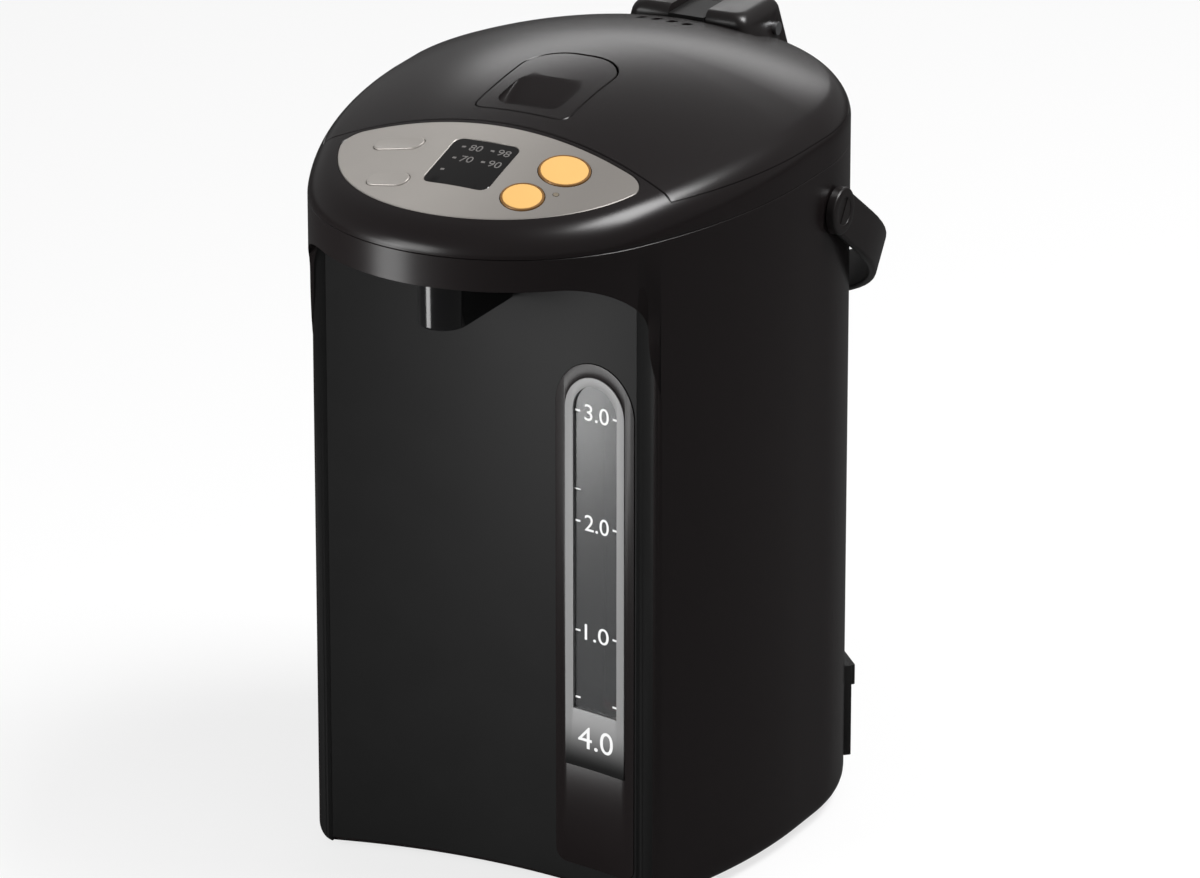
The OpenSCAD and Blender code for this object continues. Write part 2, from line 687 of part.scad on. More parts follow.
// the outlet pipe runs level between the floor of the beak and the deck
outlet_z = (beak_z + case_wall + deck_z) / 2;
outlet_turn = outlet_z - beak_z - 2;

// quarter bend from vertical to level, in the direction h
function elbow(c, h, z, r, n, a0, a1) = [for (i = [0:n]) let (a = a0 + (a1 - a0) * i / n)
    [c[0] + r * (1 - cos(a)) * h[0], c[1] + r * (1 - cos(a)) * h[1], z - r * (1 - sin(a))]];

module outlet_pipe() color([0.72, 0.72, 0.7]) {
    h = ([0, spout_y] - sight_at) / norm([0, spout_y] - sight_at);
    start = [sight_at[0], sight_at[1], sight_z[1] + valve_h + 0.15];
    pipe(concat([start], elbow(sight_at, h, outlet_z, outlet_turn + 4, 5, 0, 90),
        elbow([0, spout_y], -h, outlet_z, outlet_turn - 0.2, 5, 90, 0), [[0, spout_y, beak_z + 2.1]]), outlet_r);
}

module spout_cover() color([0.05, 0.05, 0.05]) difference() {
    translate([0, 0, spout_z]) linear_extrude(beak_z - spout_z - 0.05) spout_outline(0);
    translate([0, 0, spout_z + 2]) linear_extrude(beak_z - spout_z) spout_outline(2);
    translate([0, spout_y, spout_z - 1]) cylinder(r = pipe_r + 0.2, h = 5);
}

module spout_outline(d) {
    translate([0, spout_y]) circle(spout_w - d);
    translate([-spout_w + d, spout_y]) square([2 * (spout_w - d), face_y - 1 - d - spout_y]);
}

module spout_tube() color([0.8, 0.8, 0.8]) translate([0, spout_y, 0])
    ring(pipe_r - 1.5, pipe_r, spout_z - 1.5, beak_z + 2);

// ---- power ----

module power_board() color([0.10, 0.35, 0.18]) {
    z = base_z + 13;
    box([20, 30, z], [75, 66, z + 1.6]);
    for (x = [25, 70], y = [35, 61]) translate([x, y, base_z + 8.5]) cylinder(r = 2.5, h = z - base_z - 8.45);
    box([28, 38, z + 1.5], [48, 58, z + 20]);
    translate([60, 48, z + 1.5]) cylinder(r = 6, h = 16);
}

module at_inlet() translate([0, back_y, 0]) rotate(inlet_turn) translate([half_w, 0, 0]) children();

module inlet_frame() color([0.07, 0.07, 0.07]) difference() {
    at_inlet() difference() {
        union() {
            box([-8, -inlet_w / 2, inlet_z[0]], [2, inlet_w / 2, inlet_z[1]]);
            box([-8, -inlet_w / 2 + 3, inlet_z[1] - 11], [4.5, inlet_w / 2 - 3, inlet_z[1] - 1]);
        }
        box([-12, -15, inlet_z[0] + 10], [10, 15, inlet_z[1] - 14]);
    }
    translate([0, back_y, inlet_z[0] - 5]) cylinder(r = half_w + 0.1, h = 60, $fn = 180);
}

module inlet_socket() color([0.12, 0.12, 0.12]) at_inlet() difference() {
    box([-20, -17, inlet_z[0] + 8.5], [-4.6, 17, inlet_z[1] - 12.5]);
    box([-17, -14, inlet_z[0] + 11], [1, 14, inlet_z[1] - 15]);
    for (y = [-6, 6]) translate([-22, y, (inlet_z[0] + inlet_z[1]) / 2 - 2]) rotate([0, 90, 0]) cylinder(r = 1.6, h = 6);
}

module inlet_pins() color([0.75, 0.68, 0.45]) at_inlet() for (y = [-6, 6])
    translate([-22, y, (inlet_z[0] + inlet_z[1]) / 2 - 2]) rotate([0, 90, 0]) cylinder(r = 1.55, h = 12);

// ---- handle ----

module handle_bushings() color([0.2, 0.2, 0.2]) for (s = [-1, 1])
    translate([0, bail_y, bail_z]) rotate([0, s * 90, 0]) {
        ring(bail_pin_r + running, bail_pin_r + 5, half_w - case_wall - 8, half_w - case_wall - 2);
    }

// edge of the bow from the right arm to the middle of the grip: e thicker on the arms, g on the grip
function bail_side(e, g, n = 20) = [for (i = [0:n]) let (t = 90 * i / n)
    [(bail_x + e) * cos(t), bail_start + (bail_reach - bail_start + g * (1 - cos(t))) * sin(t)]];
function bow(e, g, low) = let (side = concat([[bail_x + e, low]], bail_side(e, g)))
    concat(side, [for (i = [len(side) - 2:-1:0]) [-side[i][0], side[i][1]]]);

module bail_outline() difference() {
    polygon(bow(bail_t, grip_t, 0));
    polygon(bow(0, 0, -1));
}

module carry_handle() color([0.10, 0.09, 0.09]) translate([0, bail_y, bail_z]) {
    rotate([-bail_tilt, 0, 0]) translate([0, 0, -bail_w / 2]) linear_extrude(bail_w) bail_outline();
    for (s = [-1, 1]) rotate([0, s * 90, 0]) {
        translate([0, 0, bail_x + 0.3]) cylinder(r = bail_w / 2 + 0.6, h = bail_t);
        translate([0, 0, half_w - case_wall - 6]) cylinder(r = bail_pin_r, h = case_wall + 7.2);
    }
}

// ---- lid ----

// block of the hinge at the rear of the head
module hinge_block() intersection() {
    union() {
        box([-hinge_half, hinge_y - hinge_reach, lid_z + 0.3], [hinge_half, rear_y + 7, hinge_z + 12]);
        box([-hinge_half, hinge_y - hinge_reach, deck_z + 2.8], [hinge_half, rear_y - 2, lid_z + 1]);
    }
    union() {
        prism(egg(case_wall + 2.4), deck_z, lid_z + 0.01);
        box([-100, 0, lid_z], [100, rear_y + 20, crown_z + 10]);
    }
}

module hinge_housing() color([0.09, 0.08, 0.08]) difference() {
    intersection() {
        hinge_block();
        translate([0, 0, deck_z]) linear_extrude(60) translate([0, (rear_y + 7 + hinge_y - hinge_reach) / 2])
            rounded([2 * hinge_half, rear_y + 7 - hinge_y + hinge_reach], 6);
    }
    // the lid's front edge turns about the pin, so the block's corner is cut back to that arc
    difference() {
        box([-50, hinge_y - 40, hinge_z], [50, hinge_y - hinge_reach + 8, hinge_z + 20]);
        translate([0, hinge_y, hinge_z]) rotate([0, 90, 0]) cylinder(r = hinge_reach, h = 120, center = true);
    }
    box([-arm_half - gap, hinge_y - 40, lid_z + 2.2], [arm_half + gap, hinge_y + 11, hinge_z + 20]);
    translate([0, hinge_y, hinge_z]) rotate([0, 90, 0]) cylinder(r = hinge_pin_r, h = 2 * hinge_half - 6, center = true);
}

module hinge_pin() color([0.7, 0.7, 0.72]) translate([0, hinge_y, hinge_z]) rotate([0, 90, 0])
    cylinder(r = hinge_pin_r - 0.01, h = 2 * hinge_half - 6.4, center = true);

// everything the lid keeps clear of at the hinge, and d more
module hinge_clear(d = 0) box([-hinge_half - gap - d, hinge_y - hinge_reach - 0.6 - d, lid_z - 20],
    [hinge_half + gap + d, rear_y + 20, crown_z + 20]);

module lid_shell() color([0.10, 0.08, 0.08]) skin() difference() {
    intersection() {
        dome(0, lid_z + 0.3);
        lid_well(0, lid_z + 0.3, crown_z + 5);
    }
    difference() {
        intersection() {
            dome(lid_t, lid_z - 4);
            lid_well(lid_rim, lid_z - 2, crown_z);
        }
        hinge_clear(lid_t);
    }
    hinge_clear();
    for (y = [0, flap_room]) translate([0, y, lid_z]) linear_extrude(60) flap_outline(gap);
    box([-flap_half - 4, flap_pin[0] - 4, lid_z + 3], [flap_half + 4, flap_pin[0] + 4, flap_pin_z + flap_pin_r + 0.2]);
    vents(1);
    box([-arm_half - 0.1, hinge_y - 40, lid_z - 1], [arm_half + 0.1, hinge_y, hinge_z + 5]);
    box([-bolt_w / 2 - 0.2, lid_front - 5, bolt_z - 0.2],
        [bolt_w / 2 + 0.2, lid_front + lid_rim + 1, bolt_z + bolt_t + 0.2]);
}

module vents(d) for (x = [-1.5:1:1.5]) translate([x * 7.5, back_y + 50, crown_z - 15]) linear_extrude(30) pill([5, 2.6]);

module lid_base() color([0.2, 0.2, 0.2]) difference() {
    union() {
        difference() {
            prism(lid_plan(lid_rim + 0.1), lid_z + 0.3, lid_z + 0.3 + base_t);
            hinge_clear(lid_t + 0.1);
        }
        translate([0, back_y, plug_z + 1.3]) cylinder(r = plug_r - 1, h = lid_z - plug_z - 1);
        // cradles that the pin of the flap lies in
        for (s = [-1, 1]) translate([s * (flap_half + 2), flap_pin[0], 0])
            box([-1, -3, lid_z + base_t], [1, 3, flap_pin_z - 0.05]);
    }
    translate([0, flap_pin[0], flap_pin_z]) rotate([0, 90, 0]) cylinder(r = flap_pin_r + 0.01, h = 80, center = true);
    translate([0, back_y, plug_z]) cylinder(r = plug_r - 3.5, h = lid_z + 1 - plug_z - 3);
    translate([0, back_y + 34, 0]) cylinder(r = 6, h = crown_z);
}

module lid_liner() color([0.78, 0.78, 0.79]) translate([0, back_y, 0]) difference() {
    translate([0, 0, plug_z]) cylinder(r = plug_r - 1, h = 1.2);
    for (a = [0:60:300]) translate([0, 34, plug_z - 1]) rotate(a) translate([3.5, 0, 0]) cylinder(r = 1.3, h = 4);
}

module lid_gasket() color([0.75, 0.73, 0.7]) translate([0, back_y, 0]) rotate_extrude($fn = 120)
    polygon([[plug_r - 0.9, plug_z - 0.5], [plug_r - 0.9, plug_z + 5], [plug_r + 1, plug_z + 5],
        [plug_r + 1.4, plug_z + 2], [plug_r + 3.6, rim_z + 0.9], [plug_r + 3, rim_z + 0.3], [plug_r + 1.6, rim_z + 0.3]]);

module steam_chamber() color([0.25, 0.25, 0.25]) {
    z0 = lid_z + 2.35;
    top = crown(0, back_y + 58) - lid_t - 3;
    difference() {
        box([-17, back_y + 24, z0], [17, back_y + 56, top]);
        box([-15.5, back_y + 25.5, z0 + 1.5], [15.5, back_y + 54.5, top + 1]);
        translate([0, back_y + 34, z0 - 1]) cylinder(r = 6, h = 5);
    }
}

module hinge_arm() color([0.10, 0.09, 0.09]) difference() {
    union() {
        box([-arm_half, hinge_y - hinge_reach - 12, lid_z + 2.35], [arm_half, hinge_y - 4, hinge_z]);
        translate([0, hinge_y, hinge_z]) rotate([0, 90, 0]) cylinder(r = 9, h = 2 * arm_half, center = true);
        box([-arm_half, hinge_y - hinge_reach + 2, hinge_z - 2], [arm_half, hinge_y - 2, hinge_z + 9]);
    }
    translate([0, hinge_y, hinge_z]) rotate([0, 90, 0]) cylinder(r = hinge_pin_r + running, h = 40, center = true);
}

// outline of the release flap, with a tight front and a round back
module flap_outline(d) {
    r0 = 5;
    r1 = 18;
    for (s = [-1, 1]) {
        translate([s * (flap_half - r0), flap_front + r0]) circle(r0 + d, $fn = 24);
        translate([s * (flap_half - r1), flap_back - r1]) circle(r1 + d, $fn = 40);
    }
    polygon([[-flap_half - d, flap_front + r0], [-flap_half + r0, flap_front + r0], [-flap_half + r0, flap_front - d],
        [flap_half - r0, flap_front - d], [flap_half - r0, flap_front + r0], [flap_half + d, flap_front + r0],
        [flap_half + d, flap_back - r1], [flap_half - r1, flap_back - r1], [flap_half - r1, flap_back + d],
        [-flap_half + r1, flap_back + d], [-flap_half + r1, flap_back - r1], [-flap_half - d, flap_back - r1]]);
}

flap_pin_z = crown(0, flap_pin[0]) - flap_pin[1];

module lid_release() color([0.10, 0.08, 0.08]) skin() difference() {
    union() {
        intersection() {
            translate([0, 0, lid_z]) linear_extrude(60) flap_outline(0);
            difference() {
                dome(0, lid_z);
                translate([0, 0, -flap_t]) dome(0, lid_z - 5);
            }
        }
        intersection() {
            box([-dish_half - 2, dish[0] - 2, lid_z], [dish_half + 2, dish[1] + 2, crown_z]);
            difference() {
                dome(0, lid_z);
                translate([0, 0, -dish_depth - 2]) dome(0, lid_z - 10);
            }
        }
        for (s = [-1, 1]) translate([s * 12, flap_pin[0], flap_pin_z]) rotate([0, 90, 0])
            cylinder(r = 3.5, h = 5, center = true, $fn = 24);
    }
    dish_cut();
    translate([0, flap_pin[0], flap_pin_z]) rotate([0, 90, 0])
        cylinder(r = flap_pin_r + running, h = 60, center = true);
}

// finger dish: deepest at its front, running out towards the back
module dish_cut() {
    top = crown(0, dish[0]) + 6;
    low = crown(0, dish[0]) - dish_depth;
    rotate([90, 0, 90]) linear_extrude(2 * dish_half, center = true)
        polygon([[dish[0], top], [dish[0], low], [dish[0] + 6, low], [dish[1], crown(0, dish[1]) + 0.2], [dish[1], top]]);
}

module flap_pin() color([0.7, 0.7, 0.72]) translate([0, flap_pin[0], flap_pin_z]) rotate([0, 90, 0])
    cylinder(r = flap_pin_r, h = 2 * (flap_half + 3), center = true);

module latch_bolt() color([0.3, 0.3, 0.3]) {
    box([-bolt_w / 2, lid_front + 0.3, bolt_z], [bolt_w / 2, flap_front + 8, bolt_z + bolt_t]);
    box([-bolt_w / 2 - 4, lid_front + lid_rim + 0.3, bolt_z], [bolt_w / 2 + 4, flap_front + 8, bolt_z + bolt_t]);
}

// ---- turntable ----

module swivel_base() color([0.12, 0.12, 0.12]) translate([0, turn_y, 0]) difference() {
    rotate_extrude($fn = 96) {
        z0 = foot_h;
        polygon([[hub_r + running, z0 + 3.3], [hub_r + 5.5, z0 + 3.3], [hub_r + 5.5, z0], [turn_r, z0],
            [turn_r, z0 + 4.5], [turn_r - 3, z0 + 4.5], [turn_r - 3, z0 + 2.5], [turn_r - 11, z0 + 2.5],
            [turn_r - 11, base_z + 5], [turn_r - 17, base_z + 5], [turn_r - 17, z0 + 2.5], [hub_r + 9, z0 + 2.5],
            [hub_r + 9, base_z + 5.4], [hub_r + running, base_z + 5.4]]);
    }
    for (a = [0:90:270]) rotate(a) translate([turn_r - 24, 0, 0]) cylinder(r = 4.05, h = 10);
}

module rubber_feet() color([0.08, 0.08, 0.08]) for (a = [0:90:270])
    translate([0, turn_y, 0]) rotate(a) translate([turn_r - 24, 0, 0]) {
        cylinder(r = 8, h = foot_h);
        cylinder(r = 4, h = foot_h + 2.4);
    }

module swivel_washer() color([0.6, 0.6, 0.62]) translate([0, turn_y, 0]) {
    translate([0, 0, base_z - 0.6]) cylinder(r = hub_r + 3, h = 1.6);
    translate([0, 0, base_z + 0.9]) cylinder(r = 2.4, h = 5);
    translate([0, 0, base_z - 1.6]) cylinder(r = 4.5, h = 1.1);
}

module stand() translate([0, origin_y, 0]) children();

stand() outer_case();
stand() front_panel();
stand() gauge_cover();
stand() gauge_frame();
stand() gauge_window();
stand() sight_tube();
stand() tube_seals();
stand() level_marker();
stand() bottom_cover();
stand() base_screws();
stand() head_cover();
stand() head_deck();
stand() control_panel();
stand() display_window();
stand() indicator_lens();
stand() control_board();
stand() button_switches();
stand() tank();
stand() tank_seal();
stand() insulation_jacket();
stand() heater_plate();
stand() temperature_sensor();
stand() thermal_fuse();
stand() tank_strainer();
stand() pump_housing();
stand() pump_impeller();
stand() pump_motor();
stand() inlet_hose();
stand() riser_hose();
stand() outlet_pipe();
stand() valve_housing();
stand() spout_cover();
stand() spout_tube();
stand() power_board();
stand() inlet_frame();
stand() inlet_socket();
stand() inlet_pins();
stand() handle_bushings();
stand() hinge_housing();
stand() hinge_pin();
stand() lid_shell();
stand() lid_base();
stand() lid_liner();
stand() lid_gasket();
stand() steam_chamber();
stand() hinge_arm();
stand() flap_pin();
stand() lid_release();
stand() latch_bolt();
stand() dispense_button();
stand() drip_button();
stand() select_button();
stand() repeat_button();
stand() carry_handle();
stand() swivel_base();
stand() rubber_feet();
stand() swivel_washer();
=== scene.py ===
"""Looks of an electric thermo pot with a gauge, a control panel, a hinged lid and a bail handle.

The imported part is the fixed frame. The shells that need true curves are modelled here and stand for
their nodes. The other nodes keep their form, or a copy of it with rounded edges, and get a finish.
All sizes are in metres, in the frame of the part: the front faces -Y and the floor is Z = 0.
"""

import logging
import math
from contextlib import contextmanager
from dataclasses import dataclass, field
from enum import Enum
from typing import Callable, Iterator, Sequence

import bpy
from mathutils import Euler, Matrix, Vector


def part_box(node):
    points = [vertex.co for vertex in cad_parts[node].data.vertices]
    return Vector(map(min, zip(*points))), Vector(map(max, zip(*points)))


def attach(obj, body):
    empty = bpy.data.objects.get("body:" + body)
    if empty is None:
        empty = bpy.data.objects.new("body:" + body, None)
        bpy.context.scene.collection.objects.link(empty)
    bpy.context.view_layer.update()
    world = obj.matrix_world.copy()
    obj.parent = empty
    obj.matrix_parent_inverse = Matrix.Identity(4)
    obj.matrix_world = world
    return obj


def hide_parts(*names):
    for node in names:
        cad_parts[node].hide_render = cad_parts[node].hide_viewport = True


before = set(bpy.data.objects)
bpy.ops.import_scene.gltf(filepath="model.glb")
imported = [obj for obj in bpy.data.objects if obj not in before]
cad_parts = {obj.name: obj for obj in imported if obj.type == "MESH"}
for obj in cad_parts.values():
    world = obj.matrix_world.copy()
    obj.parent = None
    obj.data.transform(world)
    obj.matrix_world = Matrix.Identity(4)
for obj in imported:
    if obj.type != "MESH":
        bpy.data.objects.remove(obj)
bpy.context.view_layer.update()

LOG = logging.getLogger("thermo_pot")
MM = 0.001
OVER = 5 * MM  # how far a cutter runs past what it cuts
Point = tuple[float, float]
Place = tuple[float, float, float]
Piece = bpy.types.Object


class Cut(Enum):
    """What a boolean does with its tool."""

    REMOVE = "DIFFERENCE"
    KEEP = "INTERSECT"
    ADD = "UNION"


# ---- finishes ----


@dataclass(frozen=True)
class Finish:
    """A surface: its colour, gloss and fine texture.

    The colour and the roughness vary a little over the surface, and the bump gives the texture of
    the mould, the grain of a felt or, when it is stretched, the lines of brushed metal. The grain is in
    waves per metre, and the waves of the colour are broader by the breadth.
    """

    name: str
    colour: Place
    roughness: float
    metallic: float = 0.0
    specular: float = 0.5
    coat: float = 0.0
    coat_roughness: float = 0.05
    variation: float = 0.08
    grain: float = 1400.0
    breadth: float = 60.0
    bump: float = 0.02
    depth: float = 0.00005
    stretch: Place = (1.0, 1.0, 1.0)
    transmission: float = 0.0
    sheen: float = 0.0

    def build(self) -> bpy.types.Material:
        """Makes the material, once.

        Returns:
            The material.
        """
        label = f"look_{self.name}"
        found = bpy.data.materials.get(label)
        if found:
            return found
        material = bpy.data.materials.new(label)
        material.use_nodes = True
        nodes, links = material.node_tree.nodes, material.node_tree.links
        shader = nodes["Principled BSDF"]
        for socket, value in {
            "Metallic": self.metallic, "Specular IOR Level": self.specular, "Coat Weight": self.coat,
            "Coat Roughness": self.coat_roughness, "Transmission Weight": self.transmission,
            "Sheen Weight": self.sheen,
        }.items():
            shader.inputs[socket].default_value = value
        place = nodes.new("ShaderNodeTexCoord")
        mapping = nodes.new("ShaderNodeMapping")
        mapping.inputs["Scale"].default_value = self.stretch
        links.new(place.outputs["Object"], mapping.inputs["Vector"])
        wide = self.noise(nodes, links, mapping, self.grain / self.breadth, 3)
        fine = self.noise(nodes, links, mapping, self.grain, 2)
        links.new(self.tint(nodes, links, wide, place), shader.inputs["Base Color"])
        gloss = nodes.new("ShaderNodeMapRange")
        gloss.inputs["To Min"].default_value = self.roughness * (1 - self.variation)
        gloss.inputs["To Max"].default_value = min(1.0, self.roughness * (1 + self.variation))
        links.new(wide.outputs["Fac"], gloss.inputs["Value"])
        links.new(gloss.outputs["Result"], shader.inputs["Roughness"])
        bump = nodes.new("ShaderNodeBump")
        bump.inputs["Strength"].default_value = self.bump
        bump.inputs["Distance"].default_value = self.depth
        links.new(fine.outputs["Fac"], bump.inputs["Height"])
        links.new(bump.outputs["Normal"], shader.inputs["Normal"])
        return material

    @staticmethod
    def noise(nodes: bpy.types.Nodes, links: bpy.types.NodeLinks, mapping: bpy.types.Node, scale: float,
              detail: float) -> bpy.types.Node:
        """Adds a noise on the piece's own place.

        Args:
            nodes: nodes of the material.
            links: links of the material.
            mapping: node that gives the place.
            scale: waves per metre.
            detail: number of finer waves.

        Returns:
            The noise node.
        """
        noise = nodes.new("ShaderNodeTexNoise")
        noise.inputs["Scale"].default_value = scale
        noise.inputs["Detail"].default_value = detail
        links.new(mapping.outputs["Vector"], noise.inputs["Vector"])
        return noise

    def tint(self, nodes: bpy.types.Nodes, links: bpy.types.NodeLinks, wide: bpy.types.Node,
             place: bpy.types.Node) -> bpy.types.NodeSocket:
        """Varies the colour between a darker and a lighter tone.

        Args:
            nodes: nodes of the material.
            links: links of the material.
            wide: the broad noise.
            place: node of the coordinates; not used by this plain tint.

        Returns:
            The socket that gives the colour.
        """
        ramp = nodes.new("ShaderNodeValToRGB")
        for stop, share in zip(ramp.color_ramp.elements, (1 - self.variation, 1 + self.variation)):
            stop.color = (*(min(1.0, tone * share) for tone in self.colour), 1.0)
        links.new(wide.outputs["Fac"], ramp.inputs["Fac"])
        return ramp.outputs["Color"]

    def dress(self, piece: Piece) -> None:
        """Gives the finish to a piece as its only material.

        Args:
            piece: the piece.
        """
        piece.data.materials.clear()
        piece.data.materials.append(self.build())

    def dress_where(self, piece: Piece, test: Callable[[Vector], bool]) -> None:
        """Gives the finish to the faces whose centre passes a test.

        Args:
            piece: the piece, which has another finish.
            test: tells whether a face takes this one.
        """
        piece.data.materials.append(self.build())
        last = len(piece.data.materials) - 1
        for face in piece.data.polygons:
            if test(face.center):
                face.material_index = last


@dataclass(frozen=True)
class FadedFinish(Finish):
    """A finish that fades along an axis from its own colour into another one."""

    other: Place = (0.0, 0.0, 0.0)
    axis: str = "Z"
    start: float = 0.0
    end: float = 0.01

    def tint(self, nodes: bpy.types.Nodes, links: bpy.types.NodeLinks, wide: bpy.types.Node,
             place: bpy.types.Node) -> bpy.types.NodeSocket:
        """Mixes the varied colour with the other one along the axis.

        Args:
            nodes: nodes of the material.
            links: links of the material.
            wide: the broad noise.
            place: node of the coordinates.

        Returns:
            The socket that gives the colour.
        """
        own = super().tint(nodes, links, wide, place)
        split = nodes.new("ShaderNodeSeparateXYZ")
        links.new(place.outputs["Object"], split.inputs["Vector"])
        share = nodes.new("ShaderNodeMapRange")
        share.interpolation_type = "SMOOTHSTEP"
        share.inputs["From Min"].default_value = self.start
        share.inputs["From Max"].default_value = self.end
        links.new(split.outputs[self.axis], share.inputs["Value"])
        mix = nodes.new("ShaderNodeMix")
        mix.data_type = "RGBA"
        colours = [socket for socket in mix.inputs if socket.type == "RGBA"]
        colours[1].default_value = (*self.other, 1.0)
        links.new(own, colours[0])
        links.new(share.outputs["Result"], mix.inputs["Factor"])
        return next(socket for socket in mix.outputs if socket.type == "RGBA")


GLOSS_CASE = Finish("gloss_case", (0.0082, 0.0063, 0.0064), 0.27, specular=0.28, grain=900, bump=0.02,
                    variation=0.02)
SATIN_PANEL = Finish("satin_panel", (0.0072, 0.0072, 0.0072), 0.44, specular=0.14, grain=2600, bump=0.10)
GLOSS_BLACK = Finish("gloss_black", (0.003, 0.003, 0.0032), 0.17, specular=0.5, coat=0.3, bump=0.01)
SATIN_TRIM = Finish("satin_trim", (0.0085, 0.0068, 0.0068), 0.34, specular=0.42, grain=2200, bump=0.08)
# Painted shade: the silver of the control plate and of the pill caps fades to a darker tone towards the right
# (+X).
SILVER_WITH_PAINTED_SHADE = FadedFinish("silver_paint_painted_shade", (0.40, 0.375, 0.35), 0.40, metallic=0.35, specular=0.4, grain=5200,
                     bump=0.05, variation=0.03, other=(0.215, 0.20, 0.185), axis="X", start=-20 * MM,
                     end=70 * MM)
GOLD = Finish("gold_paint", (0.78, 0.46, 0.15), 0.42, specular=0.35, grain=3800, bump=0.04, variation=0.03)
GOLD_RIM = Finish("gold_rim", (0.23, 0.115, 0.035), 0.40, metallic=0.3, variation=0.04)
DISPLAY = Finish("display_black", (0.0035, 0.003, 0.003), 0.12, specular=0.45, coat=0.2, bump=0.004)
PRINT_GREY = Finish("print_grey", (0.15, 0.142, 0.138), 0.55, variation=0.05, bump=0.0)
PRINT_WHITE = Finish("print_white", (0.70, 0.70, 0.70), 0.5, variation=0.02, bump=0.0)
GAUGE_GREY = FadedFinish("gauge_grey", (0.006, 0.006, 0.006), 0.38, specular=0.4, grain=3000, bump=0.05,
                         other=(0.205, 0.205, 0.205), axis="Z", start=61 * MM, end=83 * MM)
WINDOW = Finish("gauge_window", (0.24, 0.245, 0.25), 0.22, transmission=0.85, variation=0.03, bump=0.0)
CLEAR = Finish("clear_tube", (0.93, 0.95, 0.95), 0.03, transmission=1.0, variation=0.02, bump=0.0)
MARKER_RED = Finish("marker_red", (0.30, 0.018, 0.03), 0.3, variation=0.05)
BASE_BLACK = Finish("base_black", (0.011, 0.0105, 0.0105), 0.55, specular=0.2, grain=2400, bump=0.2)
DARK_INNER = Finish("inner_dark", (0.024, 0.024, 0.026), 0.48, specular=0.4, grain=2400, bump=0.12)
STEEL = Finish("steel", (0.52, 0.52, 0.53), 0.3, metallic=1.0, grain=1500, bump=0.05)
STAINLESS = Finish("brushed_stainless", (0.56, 0.56, 0.57), 0.27, metallic=1.0, grain=900, bump=0.08,
                   stretch=(1.0, 1.0, 14.0))
SILICONE = Finish("silicone", (0.50, 0.49, 0.46), 0.6, grain=1800, bump=0.05)
FELT = Finish("felt", (0.30, 0.30, 0.28), 0.95, grain=5200, bump=0.7, depth=0.0004, sheen=0.3, variation=0.2)
CERAMIC = Finish("ceramic", (0.60, 0.55, 0.45), 0.55, variation=0.06)
BOARD_GREEN = Finish("board_green", (0.02, 0.12, 0.05), 0.4, variation=0.15)
WHITE_MOULD = Finish("white_moulding", (0.68, 0.68, 0.65), 0.45, grain=2000, bump=0.06)
PIN_METAL = Finish("plated_pins", (0.62, 0.50, 0.27), 0.25, metallic=1.0)
FOOT_RUBBER = Finish("foot_rubber", (0.017, 0.017, 0.017), 0.75, grain=3000, bump=0.3)
LENS = Finish("frosted_lens", (0.20, 0.17, 0.13), 0.3, variation=0.05)

NODE_FINISHES: dict[str, Finish] = {
    "sight_tube": CLEAR, "tube_seals": SILICONE, "level_marker": MARKER_RED, "base_screws": STEEL,
    "indicator_lens": LENS, "control_board": BOARD_GREEN, "button_switches": DARK_INNER,
    "tank": STAINLESS, "tank_seal": SILICONE, "insulation_jacket": FELT, "heater_plate": STEEL,
    "temperature_sensor": STEEL, "thermal_fuse": CERAMIC, "tank_strainer": STAINLESS,
    "pump_housing": WHITE_MOULD, "pump_impeller": WHITE_MOULD, "pump_motor": STEEL,
    "inlet_hose": SILICONE, "riser_hose": SILICONE, "outlet_pipe": SILICONE,
    "valve_housing": WHITE_MOULD, "spout_tube": WHITE_MOULD, "power_board": BOARD_GREEN,
    "inlet_pins": PIN_METAL, "inlet_socket": BASE_BLACK, "handle_bushings": DARK_INNER,
    "hinge_pin": STEEL, "hinge_arm": BASE_BLACK, "lid_liner": STAINLESS, "lid_gasket": SILICONE,
    "steam_chamber": DARK_INNER, "flap_pin": STEEL, "latch_bolt": DARK_INNER,
    "rubber_feet": FOOT_RUBBER, "swivel_washer": STEEL, "head_deck": DARK_INNER, "lid_base": DARK_INNER,
}


@dataclass(frozen=True)
class RoundedCopy:
    """How the copy of a node is finished: the width of its rounded edges, its body, finish and slot."""

    width: float
    body: str
    finish: Finish = BASE_BLACK
    slot: str = "base"


ROUNDED_NODES: dict[str, RoundedCopy] = {
    "inlet_frame": RoundedCopy(0.8 * MM, "pot"),
    "bottom_cover": RoundedCopy(0.4 * MM, "pot"),
    "swivel_base": RoundedCopy(0.8 * MM, "turntable"),
}


# ---- tools of the workshop ----


def select_only(piece: Piece) -> None:
    """Leaves one piece selected and active.

    Args:
        piece: the piece.
    """
    bpy.ops.object.select_all(action="DESELECT")
    piece.select_set(True)
    bpy.context.view_layer.objects.active = piece


@contextmanager
def editing(piece: Piece) -> Iterator[None]:
    """Opens one piece in edit mode with its whole mesh selected, and leaves edit mode at the end.

    Args:
        piece: the piece.

    Yields:
        Nothing, while edit mode is open.
    """
    select_only(piece)
    bpy.ops.object.mode_set(mode="EDIT")
    bpy.ops.mesh.select_all(action="SELECT")
    yield
    bpy.ops.object.mode_set(mode="OBJECT")


def apply_modifiers(piece: Piece) -> None:
    """Applies every modifier of a piece, in order.

    Args:
        piece: the piece.
    """
    select_only(piece)
    for name in [modifier.name for modifier in piece.modifiers]:
        bpy.ops.object.modifier_apply(modifier=name)


def carve(piece: Piece, tool: Piece, cut: Cut = Cut.REMOVE) -> Piece:
    """Removes, keeps or adds the space of a tool, which is used up.

    Args:
        piece: the piece that is worked on.
        tool: closed solid.
        cut: what is done with it.

    Returns:
        The piece.
    """
    modifier = piece.modifiers.new(cut.name, "BOOLEAN")
    modifier.object = tool
    modifier.operation = cut.value
    modifier.solver = "EXACT"
    apply_modifiers(piece)
    bpy.data.objects.remove(tool)
    return piece


